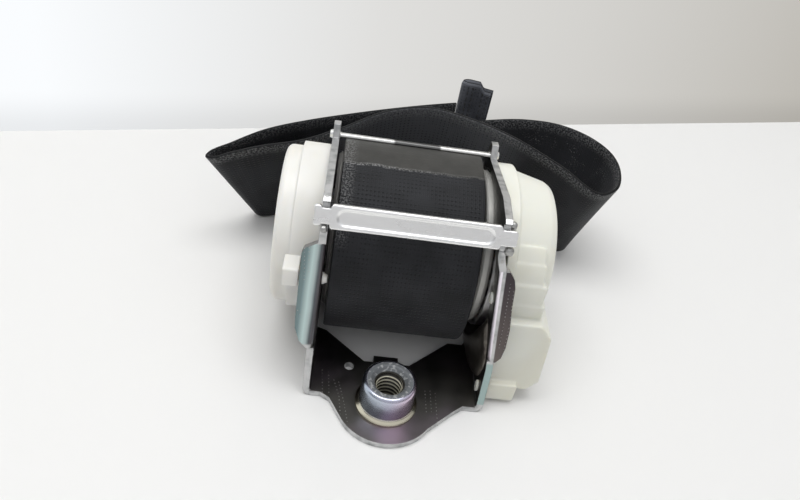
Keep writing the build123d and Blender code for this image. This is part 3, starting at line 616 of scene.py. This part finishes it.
half = belt["width"] / 2
loop = [around(slackTurn["axis"], slackTurn["rollRadius"] + 1.3, angle) for angle in (336, 318)]
loop += [around(slackTurn["middle"], slackTurn["radius"], angle) for angle in range(294, 90, -14)]
loop += downTheBack
aside = slackTurn["aside"]
loopEdges = [(aside - half, y, z, aside + half, y, z) for y, z in loop]
edges = curveThrough(loopEdges + [(*upper, *lower) for upper, lower in onTheFloor], 1.6)
run, creaseAt, barAt = 0.0, 0.0, 0.0
for first, second in zip(edges, edges[1:]):
    run += (Vector(second[:3]) - Vector(first[:3])).length
    creaseAt = run if second[2] > 60 and second[1] < slackTurn["creaseY"] else creaseAt
    barAt = run if second[2] > 60 and second[1] < slackTurn["barY"] else barAt
looks["beltFree"] = beltCloth("freeBelt", wearAndPaintedLight=0.9, crease=creaseAt, barAt=barAt)
webbingFree, freeLength = beltStrip("webbingFree", [(e[:3], e[3:]) for e in edges], looks["beltFree"])
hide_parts("webbing_free")
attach(webbingFree, "frame")
print("free belt made,", round(freeLength, 1), "mm long")


beltEnd = {
    "fold": ((36.0, 131.4), (29.0, 132.1), (24.6, 132.4), (23.3, 133.4), (24.6, 134.6), (31.0, 134.7),
             (37.4, 134.4)),
    "top": ((23.4, 58.2), (31.0, 57.8), (33.0, 55.2), (38.0, 54.6)),
    "stitch": 2.6,
}


def endTop(x):
    marks = beltEnd["top"]
    for (x0, z0), (x1, z1) in zip(marks, marks[1:]):
        if x <= x1:
            return z0 + (z1 - z0) * max(0.0, x - x0) / (x1 - x0)
    return marks[-1][1]


foldLine = curveThrough(beltEnd["fold"], 0.6)
endPoints, endUv = [], []
thick = belt["thick"] / 2
rowsUp = 40
runs = [0.0]
for a, b in zip(foldLine, foldLine[1:]):
    runs.append(runs[-1] + hypot(b[0] - a[0], b[1] - a[1]))
ring = 2 * (rowsUp + 1)
for i, (x, y) in enumerate(foldLine):
    ahead, behind = foldLine[min(i + 1, len(foldLine) - 1)], foldLine[max(i - 1, 0)]
    dx, dy = ahead[0] - behind[0], ahead[1] - behind[1]
    size = hypot(dx, dy)
    for side in (1, -1):
        for j in range(rowsUp + 1):
            t = j / rowsUp if side > 0 else 1 - j / rowsUp
            z = 0.8 + (endTop(x) - 0.8) * t
            off = side * thick * (1 - abs(2 * t - 1) ** 40) ** 0.5
            lean = 0.9 * sin(t * 3.1) * (0.4 if i < len(foldLine) / 2 else 1.0)
            endPoints.append((x - off * dy / size, y + off * dx / size + lean, z))
endFaces = ringWalls(len(foldLine), ring)
for a, b in (divmod(k, ring) for face in endFaces for k in face):
    t = b / rowsUp if b <= rowsUp else (ring - 1 - b) / rowsUp
    endUv.append(((t - 0.5) * belt["width"] * mm, runs[a] * mm))
for i, order in ((0, range(ring - 1, -1, -1)), (len(foldLine) - 1, range(ring))):
    endFaces.append(tuple(i * ring + j for j in order))
    endUv += [(0.0, runs[i] * mm)] * ring
webbingEnd = outwards(meshPiece("webbingEnd", endPoints, endFaces, uv=endUv))
dress(webbingEnd, looks["beltEnd"])
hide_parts("webbing_end")
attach(webbingEnd, "frame")
stitch = {"rows": (2.4, 4.6, 9.0, 11.2), "sizes": {"pitch": 2.6, "long": 1.9, "wide": 0.5, "high": 0.5,
                                                  "scatter": 0.15}}
lines = []
for offset in stitch["rows"]:
    x = 23.4 + offset
    place = min(foldLine[:len(foldLine) // 2], key=lambda p: abs(p[0] - x))
    lines.append([(x, place[1] - thick - 0.05 + 0.36 * sin(t / 10 * 3.1), 3.0 + (endTop(x) - 5.5) * t / 10)
                  for t in range(11)])
stitches = alongLines("endStitches", lines, stitch["sizes"], looks["thread"])
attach(stitches, "frame")
print("belt end made")


wound = {"inner": 14.0, "outer": 28.0, "turns": 11, "aside": 0.45}
stations = []
axisY, axisZ = slackTurn["axis"]
steps = wound["turns"] * 60
for i in range(steps + 1):
    t = i / steps
    angle = 2 * pi * wound["turns"] * t
    radius = wound["inner"] + belt["thick"] / 2 + (wound["outer"] - wound["inner"] - belt["thick"]) * t
    aside = wound["aside"] * noise.noise(Vector((t * wound["turns"] * 0.9, 3.1, 0.7))) * 2
    y, z = axisY + radius * cos(angle), axisZ + radius * sin(angle)
    stations.append(((-half + aside, y, z), (half + aside, y, z)))
webbingRoll, rollLength = beltStrip("webbingRoll", stations, looks["beltWound"])
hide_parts("webbing_roll")
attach(webbingRoll, "spool")
print("wound belt made,", round(rollLength), "mm long")


def lathe(name, profileAt, rows, around=96, centre=(0, 0)):
    # profileAt(row, angle) gives radius and height; the profile closes on itself
    points, faces = [], []
    for i in range(around):
        angle = 2 * pi * i / around
        for j in range(rows):
            r, z = profileAt(j, angle)
            points.append((centre[0] + r * cos(angle), centre[1] + r * sin(angle), z))
    for i in range(around):
        n = (i + 1) % around
        for j in range(rows):
            k = (j + 1) % rows
            faces.append((i * rows + j, n * rows + j, n * rows + k, i * rows + k))
    return outwards(meshPiece(name, points, faces))


b = bush
roundWide, roundDeep = 1.35, 1.75
bushOutside = [(b["thread"] + 0.7, 0.0), (b["spigot"], 0.0), (b["spigot"], b["sheet"]),
               (b["collar"] - 0.15, b["sheet"]), (b["collar"], b["sheet"] + 0.15),
               (b["collar"], b["sheet"] + 0.7), (b["collar"] - 0.3, b["sheet"] + 1.05),
               (b["collar"] - 0.9, b["sheet"] + 1.3), (b["body"] + 0.12, b["sheet"] + 1.7),
               (b["body"], b["sheet"] + 2.2), (b["body"], b["height"] - roundDeep)]
for k in range(1, 8):
    turn = k * pi / 14
    bushOutside.append((b["body"] - roundWide * (1 - cos(turn)),
                        b["height"] - roundDeep + roundDeep * sin(turn)))
bushOutside += [(b["body"] - 1.6, b["height"]), (b["mouth"] + 0.25, b["height"]),
                (b["mouth"], b["height"] - 0.12), (b["mouth"] - 0.45, b["height"] - 0.75),
                (b["mouth"] - 1.05, b["height"] - 1.5)]
threadRows = 110
threadTop = b["height"] - 1.75


def bushProfile(row, angle):
    if row < len(bushOutside):
        return bushOutside[row]
    t = (row - len(bushOutside)) / (threadRows - 1)
    z = threadTop * (1 - t)
    phase = (z / b["pitch"] - angle / (2 * pi)) % 1.0
    crest = min(1.0, 2.3 * min(phase, 1 - phase))
    fade = min(1.0, t * 12 + 0.15, (1 - t) * 12 + 0.15)
    return (b["thread"] + b["deep"] * (1 - crest * fade), z)


anchorBush = lathe("anchorBush", bushProfile, len(bushOutside) + threadRows)
dress(anchorBush, looks["bush"])
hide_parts("anchor_bush")
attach(anchorBush, "frame")
print("bush made")


tieBar = {"low": (13.6, 63.1), "high": (16.6, 70.2), "thick": 1.8, "shoulder": 25.9, "tip": 30.7,
          "neck": 1.3, "recess": 23.6, "recessHalf": 2.35, "deep": 0.55}
up = Vector((0, tieBar["high"][0] - tieBar["low"][0], tieBar["high"][1] - tieBar["low"][1]))
barHalf = up.length / 2
up.normalize()
out = Vector((0, -up.z, up.y))
barMiddle = Vector((0, *((low + high) / 2 for low, high in zip(tieBar["low"], tieBar["high"]))))


def barHalfWidth(x):
    neck = barHalf - tieBar["neck"]
    a = abs(x)
    if a <= tieBar["shoulder"] - 0.8:
        return barHalf
    if a <= tieBar["shoulder"]:
        return neck + (barHalf - neck) * sqrt(max(0.0, 1 - ((a - tieBar["shoulder"] + 0.8) / 0.8) ** 2))
    if x < -28.5:
        return barHalf - 0.6
    return neck


def barFront(x, y):
    # pressed panel: a long rounded slot with sloping sides
    t = tieBar
    beyond = hypot(max(0.0, abs(x) - (t["recess"] - t["recessHalf"])), y) - t["recessHalf"]
    depth = min(1.0, max(0.0, 0.5 - beyond / 0.9))
    depth = depth * depth * (3 - 2 * depth)
    rim = max(0.0, 1 - abs(beyond - 0.7) / 0.7)
    ripple = (0.05 * noise.noise(Vector((x * 0.35, y * 0.5, 1.3)))
              + 0.03 * noise.noise(Vector((x * 1.3, y, 5.0))))
    return t["thick"] - t["deep"] * depth + 0.10 * rim * rim + ripple


barPoints, stationsX = [], []
x = -tieBar["tip"]
while x < tieBar["tip"]:
    stationsX.append(x)
    x += 0.15 if tieBar["shoulder"] - 1.0 < abs(x) < tieBar["shoulder"] + 0.2 or -28.7 < x < -28.3 else 0.45
stationsX.append(tieBar["tip"])
across = 30
for x in stationsX:
    width = barHalfWidth(x)
    end = max(0.0, abs(x) - (tieBar["tip"] - 0.5)) / 0.5
    width -= 0.45 * end * end
    for j in range(across + 1):
        y = width * (-1 + 2 * j / across)
        front = barFront(x, y)
        side = min(1.0, (width - abs(y)) / 0.5)
        front -= 0.45 * (1 - sqrt(max(0.0, 1 - (1 - side) ** 2)))
        barPoints.append(barMiddle + Vector((x, 0, 0)) + up * y + out * front)
    for j in range(across, -1, -1):
        y = width * (-1 + 2 * j / across)
        barPoints.append(barMiddle + Vector((x, 0, 0)) + up * y)
ring = 2 * (across + 1)
barFaces = ringWalls(len(stationsX), ring)
barFaces.append(tuple(range(ring)))
barFaces.append(tuple((len(stationsX) - 1) * ring + j for j in range(ring)))
tieBarPiece = outwards(meshPiece("tieBar", barPoints, barFaces))
dress(tieBarPiece, looks["tieBar"])
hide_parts("tie_bar")
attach(tieBarPiece, "frame")
print("tie bar made")


cover = {
    "drum": ((34.7, 28.6), (36.4, 28.2), (46.6, 25.7), (48.4, 24.6), (49.2, 22.8)),   # X, radius
    "steps": ((138, 28.6, 44.6), (150, 28.9, 45.4), (164, 29.3, 46.7), (179, 29.6, 47.9)),
    "box": ((8.8, 5.6), (13.2, 32.4), (38.0, 32.4), (38.0, 5.6)),                      # Y, Z
    "side": ((34.7, 5.6), (48.6, 5.6), (52.6, 9.4), (52.6, 27.6), (48.6, 32.4), (34.7, 32.4)),   # X, Z
    "foot": ((34.7, 44.8), (6.6, 10.4), (1.6, 9.2)),                                   # X, Y, Z
    "pin": ((7.8, 6.6), 1.35, 31.0),                                                   # Y and Z, radius, X
    "pinHead": (1.5, 2.5, 31.5),                                                       # half Y, half Z, X
    "wall": 1.5,
    "grain": 0.42,
}


def joinedPiece(name, pieces):
    work = bmesh.new()
    for piece in pieces:
        work.from_mesh(piece.data)
        bpy.data.objects.remove(piece)
    mesh = bpy.data.meshes.new(name)
    work.to_mesh(mesh)
    work.free()
    joined = bpy.data.objects.new(name, mesh)
    scene.collection.objects.link(joined)
    return joined


def turnedOnSpool(name, profile, around=120):
    # profile: X and radius, closed on the spool's own line
    profile = [(profile[0][0], 0.02)] + list(profile) + [(profile[-1][0], 0.02)]
    points, faces = [], []
    rows = len(profile)
    for i in range(around):
        a = 2 * pi * i / around
        points += [(x, axisY + r * cos(a), axisZ + r * sin(a)) for x, r in profile]
    for i in range(around):
        n = (i + 1) % around
        faces += [(i * rows + j, n * rows + j, n * rows + j + 1, i * rows + j + 1) for j in range(rows - 1)]
    faces.append(tuple(i * rows for i in range(around)))
    faces.append(tuple(i * rows + rows - 1 for i in range(around)))
    return outwards(meshPiece(name, points, faces))


def prism(name, outline, start, end, axis=0):
    # outline in the two other axes, pushed along X or Y
    count = len(outline)
    points = [(at, *spot) if axis == 0 else (spot[0], at, spot[1])
              for at in (start, end) for spot in outline]
    faces = [tuple(range(count)), tuple(range(count, 2 * count))]
    faces += [(i, (i + 1) % count, count + (i + 1) % count, count + i) for i in range(count)]
    return outwards(meshPiece(name, points, faces, smooth=False))


def cutWith(piece, tool, way):
    cut = piece.modifiers.new("cut", "BOOLEAN")
    cut.operation = way
    cut.solver = "EXACT"
    cut.object = tool
    asMesh(piece)
    bpy.data.objects.remove(tool)
    return piece


def shrunk(outline, inset):
    # corners in the order low left, high left, high right, low right
    ways = ((inset, inset), (inset, -inset), (-inset, -inset), (-inset, inset))
    return tuple((y + dy, z + dz) for (y, z), (dy, dz) in zip(outline, ways))


sensorBox = cutWith(prism("sensorBox", cover["box"], 34.7, 52.6),
                    prism("boxSide", cover["side"], 0.0, 60.0, axis=1), "INTERSECT")
parts = [turnedOnSpool("coverDrum", cover["drum"]), sensorBox]
for angle, radius, reach in cover["steps"]:
    fan = [(axisY, axisZ)]
    fan += [(axisY + radius * cos(radians(a)), axisZ + radius * sin(radians(a))) for a in
            [angle + (206 - angle) * k / 24 for k in range(25)]]
    parts.append(prism("coverStep", fan, 34.7, reach))
(x0, x1), (y0, y1), (z0, z1) = cover["foot"]
parts.append(prism("coverFoot", ((y0, z0), (y0, z1), (y1, z1), (y1, z0)), x0, x1))
(pinY, pinZ), pinRadius, pinX = cover["pin"]
headY, headZ, headX = cover["pinHead"]
ringOf = [(cos(2 * pi * k / 28), sin(2 * pi * k / 28)) for k in range(28)]
for name, halfY, halfZ, start, end in (("coverPin", pinRadius, pinRadius, pinX, 36.0),
                                       ("pinHead", headY, headZ, pinX - 0.4, headX)):
    parts.append(prism(name, [(pinY + halfY * c, pinZ + halfZ * t) for c, t in ringOf], start, end))
mechanismCover = joinedPiece("mechanismCover", parts)
grain = mechanismCover.modifiers.new("grain", "REMESH")
grain.mode = "VOXEL"
grain.voxel_size = cover["grain"] * mm
soft = mechanismCover.modifiers.new("soft", "SMOOTH")
soft.factor = 0.5
soft.iterations = 3
asMesh(mechanismCover)
wall = cover["wall"]
inside = [(x, r - wall) for x, r in cover["drum"][:3]]
inside.append((cover["drum"][-1][0] - wall, cover["drum"][3][1] - wall))
cutWith(mechanismCover, turnedOnSpool("drumRoom", [(34.0, inside[0][1])] + inside), "DIFFERENCE")
cutWith(mechanismCover, prism("boxRoom", shrunk(cover["box"], wall), 34.0, 47.6), "DIFFERENCE")
smoothed(mechanismCover)
dress(mechanismCover, looks["coverNylon"])
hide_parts("mechanism_cover")
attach(mechanismCover, "frame")
print("mechanism cover made,", len(mechanismCover.data.polygons), "faces")


stake = {"radius": (1.5, 1.45, 1.6),
         "right": ((29.3, 18.2, 68.9), (29.3, 13.6, 62.6)),
         "left": ((-27.4, 17.0, 71.4), (-27.4, 12.4, 63.3)),
         "ear": ((28.0, 13.6, 58.8),)}
for label, spots in (("Right", stake["right"]), ("Left", stake["left"]), ("Ear", stake["ear"])):
    knobPoints, knobFaces = [], []
    small = 0.72 if label != "Right" else 1.0
    for spot in spots:
        rounds, levels, first = 28, 14, len(knobPoints)
        for j in range(levels + 1):
            for i in range(rounds):
                a, t = 2 * pi * i / rounds, pi * j / levels
                way = Vector((cos(a) * sin(t), sin(a) * sin(t), cos(t)))
                way = Vector(c * (1.18 - 0.18 * abs(c)) for c in way)
                lump = 1 + 0.12 * noise.noise(way * 1.7 + Vector(spot))
                knobPoints.append(tuple(at + along * radius * lump * small for at, along, radius
                                        in zip(spot, way, stake["radius"])))
        for j in range(levels):
            for i in range(rounds):
                n = (i + 1) % rounds
                knobFaces.append((first + j * rounds + i, first + (j + 1) * rounds + i,
                                  first + (j + 1) * rounds + n, first + j * rounds + n))
    knob = outwards(meshPiece("staked" + label, knobPoints, knobFaces))
    dress(knob, looks["knob"])
    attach(knob, "frame")
print("staked ends of the tie bar made")


flare = {"middle": (29.0, 17.0), "reach": (21.0, 17.5), "deep": 5.0, "step": 0.8, "y": (6.6, 50.0),
         "z": (2.0, 36.0), "rim": 28.6}


def earInside(z):
    # inner face of the right ear, mm
    return 31.4 - 3.5 * min(1.0, max(0.0, (z - 18.0) / 37.5)) - 0.1


def flareDepth(y, z):
    a = (y - flare["middle"][0]) / flare["reach"][0]
    b = (z - flare["middle"][1]) / flare["reach"][1]
    dome = sqrt(max(0.0, 1 - a * a - b * b))
    clear = min(1.0, max(0.0, (hypot(y - axisY, z - axisZ) - flare["rim"]) / 3.5))
    return flare["deep"] * dome ** 1.2 * clear * clear * (3 - 2 * clear)


across = round((flare["y"][1] - flare["y"][0]) / flare["step"])
upward = round((flare["z"][1] - flare["z"][0]) / flare["step"])
flarePoints, flareFaces, corners = [], [], {}


def flareCorner(i, j, back):
    if (i, j, back) not in corners:
        y, z = flare["y"][0] + i * flare["step"], flare["z"][0] + j * flare["step"]
        x = earInside(z) + (1.6 if back else 0.35 - flareDepth(y, z))
        corners[(i, j, back)] = len(flarePoints)
        flarePoints.append((x, y, z))
    return corners[(i, j, back)]


def flareCell(i, j):
    if not (0 <= i < across and 0 <= j < upward):
        return False
    y, z = flare["y"][0] + (i + 0.5) * flare["step"], flare["z"][0] + (j + 0.5) * flare["step"]
    return hypot(y - axisY, z - axisZ) > flare["rim"] and flareDepth(y, z) > 0.05


for i in range(across):
    for j in range(upward):
        if not flareCell(i, j):
            continue
        square = ((i, j), (i + 1, j), (i + 1, j + 1), (i, j + 1))
        flareFaces.append(tuple(flareCorner(a, b, False) for a, b in square))
        flareFaces.append(tuple(flareCorner(a, b, True) for a, b in reversed(square)))
        for (di, dj), one, two in (((-1, 0), 0, 3), ((1, 0), 1, 2), ((0, -1), 0, 1), ((0, 1), 3, 2)):
            if not flareCell(i + di, j + dj):
                a, b = square[one], square[two]
                flareFaces.append((flareCorner(*a, False), flareCorner(*b, False), flareCorner(*b, True),
                                   flareCorner(*a, True)))
earFlare = outwards(meshPiece("earFlare", flarePoints, flareFaces))
dress(earFlare, looks["flare"])
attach(earFlare, "frame")
print("pressed flare of the right ear made")


stipple = {"plate": (((-22.5, 11.0), (-21.6, 1.4)), ((-20.2, 10.4), (-19.4, 1.6)),
                     ((-18.1, 7.1), (-15.9, 0.4), (-14.8, -8.4)),
                     ((-16.4, 6.4), (-14.2, -1.5), (-12.5, -9.6)),
                     ((13.6, 6.4), (13.9, -2.4)), ((15.4, 6.6), (15.7, -2.2)),
                     ((17.2, 5.8), (17.6, -7.6))),
           "lean": (((-32.4, 34.0), (-31.6, 23.0)), ((-31.1, 34.4), (-30.4, 26.0)),
                    ((-32.6, 11.4), (-31.8, 10.0)), ((32.3, 30.0), (33.3, 16.5), (33.9, 5.6)),
                    ((33.9, 27.5), (35.4, 14.5), (35.7, 5.2))),
           "sizes": {"pitch": 1.35, "long": 0.5, "wide": 0.42, "high": 0.3, "scatter": 0.5}}
leanUp = Vector((0, 6.8, 35.0)).normalized()
leanFoot = Vector((0, 5.6, 22.0))
lines = [[(x, y, frameTop) for x, y in line] for line in stipple["plate"]]
for line in stipple["lean"]:
    lines.append([tuple(leanFoot + leanUp * v + Vector((u, -0.05, 0))) for u, v in line])
rollMarks = alongLines("rollMarks", lines, stipple["sizes"], looks["stipple"])
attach(rollMarks, "frame")
print("roll marks made")


studio = {
    "floor": (0.87, 0.865, 0.85),
    "wallLine": ((-180.6, 134.2), (263.7, 261.8)),   # where the wall meets the floor, mm
    # painted light: the wall grows darker from left to right
    "wall": ((0.0, (0.96, 0.98, 1.0)), (0.35, (0.74, 0.735, 0.72)), (0.6, (0.655, 0.645, 0.62)),
             (1.0, (0.51, 0.49, 0.45))),
    "seam": 0.86,            # painted shade: how much darker the wall is just above the floor
    "sky": ((0.0, (0.16, 0.16, 0.16)), (0.5, (0.20, 0.20, 0.20)), (0.62, (0.34, 0.34, 0.35)),
            (0.85, (0.72, 0.73, 0.75)), (1.0, (0.86, 0.87, 0.89))),    # from below to straight above
    "beyond": (0.70, 0.70, 0.69),     # what the camera sees past the floor's end
    "lampSize": (0.9, 0.42),
    "lampPower": 5.0,
    "lampAt": (-0.10, 0.10, 0.95),
    "window": 0.30,          # brightness added low in front, for what the bright steel mirrors
}
(x0, y0), (x1, y1) = studio["wallLine"]
away = Vector((x1 - x0, y1 - y0)).normalized()
middle = Vector(((x0 + x1) / 2, (y0 + y1) / 2))
left, right = middle - away * 2500, middle + away * 2500
front = Vector((away.y, -away.x)) * 3000
floor = meshPiece("studioFloor", [(*(corner + side * front), 0) for corner, side in (
    (left, -1), (left, 1), (right, 1), (right, -1))], [(0, 1, 2, 3)], smooth=False)
wall = meshPiece("studioWall", [(left.x, left.y, 0), (right.x, right.y, 0), (right.x, right.y, 2500),
                                (left.x, left.y, 2500)], [(0, 1, 2, 3)], smooth=False)
material, tree, shader = finishOf("studioFloor")
place = objectPlace(tree)
faint = tuple(c * 0.985 for c in studio["floor"])
fill(tree, shader, {"Base Color": blendOf(tree, grainOf(tree, place, 6.0), studio["floor"], faint),
                    "Roughness": 0.55})
dress(floor, material)
material, tree, shader = finishOf("studioWall")
spot, _ = millimetres(tree)
# the wall glows with these tones for camera and glossy rays: painted light falling off from left to right,
# and painted shade just above the floor
gradient = tones(tree, mapped(tree, spot[0], -160.0, 260.0), studio["wall"])
seam = put(tree, "MapRange", {"Value": spot[2], "From Min": 0.0, "From Max": 22.0, "To Min": studio["seam"],
                              "To Max": 1.0}, interpolation_type="SMOOTHSTEP").outputs[0]
gradient = blendOf(tree, 1.0, gradient, put(tree, "CombineColor", {0: seam, 1: seam, 2: seam}).outputs[0],
                   "MULTIPLY")
fill(tree, shader, {"Base Color": (0.72, 0.72, 0.70, 1), "Roughness": 0.7})
glow = put(tree, "Emission", {"Color": gradient, "Strength": 1.0})
rays = put(tree, "LightPath")
seen = calc(tree, "MAXIMUM", rays.outputs["Is Camera Ray"], rays.outputs["Is Glossy Ray"])
chosen = put(tree, "MixShader", {0: seen, 1: shader.outputs[0], 2: glow.outputs[0]})
behind = put(tree, "NewGeometry").outputs["Backfacing"]      # the wall is there only from its front
clear = put(tree, "BsdfTransparent").outputs[0]
chosen = put(tree, "MixShader", {0: behind, 1: chosen.outputs[0], 2: clear})
tree.links.new(chosen.outputs[0], tree.nodes["Material Output"].inputs["Surface"])
dress(wall, material)
wall.visible_shadow = False

world = bpy.data.worlds.new("studioWorld")
scene.world = world
world.use_nodes = True
tree = world.node_tree
aim = put(tree, "SeparateXYZ", {0: put(tree, "TexCoord").outputs["Generated"]}).outputs
height = mapped(tree, aim[2], -1.0, 1.0)
window = times(tree, under(tree, aim[1], -0.9, -0.55),
               between(tree, aim[2], -0.30, -0.05), under(tree, aim[2], 0.3, 0.55),
               put(tree, "LightPath").outputs["Is Glossy Ray"], studio["window"])
window = put(tree, "CombineColor", {0: window, 1: window, 2: window}).outputs[0]
light = blendOf(tree, 1.0, tones(tree, height, studio["sky"]), window, "ADD")
light = blendOf(tree, put(tree, "LightPath").outputs["Is Camera Ray"], light, studio["beyond"])
tree.links.new(light, tree.nodes["Background"].inputs["Color"])
tree.nodes["Background"].inputs["Strength"].default_value = 1.0
lamp = bpy.data.lights.new("ceilingLamp", "AREA")
lamp.shape = "RECTANGLE"
lamp.size, lamp.size_y = studio["lampSize"]
lamp.energy = studio["lampPower"]
lampObject = bpy.data.objects.new("ceilingLamp", lamp)
lampObject.location = studio["lampAt"]
lampObject.rotation_euler = (radians(-5), radians(-6), 0)
scene.collection.objects.link(lampObject)

view = {"lens": 33.524, "place": (-24.4, -161.2, 201.6), "elevation": 39.22, "roll": 11.24, "yaw": 6.76}
e, r, w = radians(view["elevation"]), radians(view["roll"]), radians(view["yaw"])
ahead = Vector((sin(w) * cos(e), cos(w) * cos(e), -sin(e)))
level = Vector((cos(w), -sin(w), 0))
above = level.cross(ahead)
rightward = cos(r) * level + sin(r) * above
upward = -sin(r) * level + cos(r) * above
lens = bpy.data.cameras.new("camera")
lens.lens = view["lens"]
lens.sensor_width = 36
lens.clip_start = 0.01
camera = bpy.data.objects.new("camera", lens)
turnMatrix = Matrix((rightward, upward, -ahead)).transposed().to_4x4()
camera.matrix_world = Matrix.Translation(Vector(view["place"]) * mm) @ turnMatrix
scene.collection.objects.link(camera)
scene.camera = camera
print("studio ready")
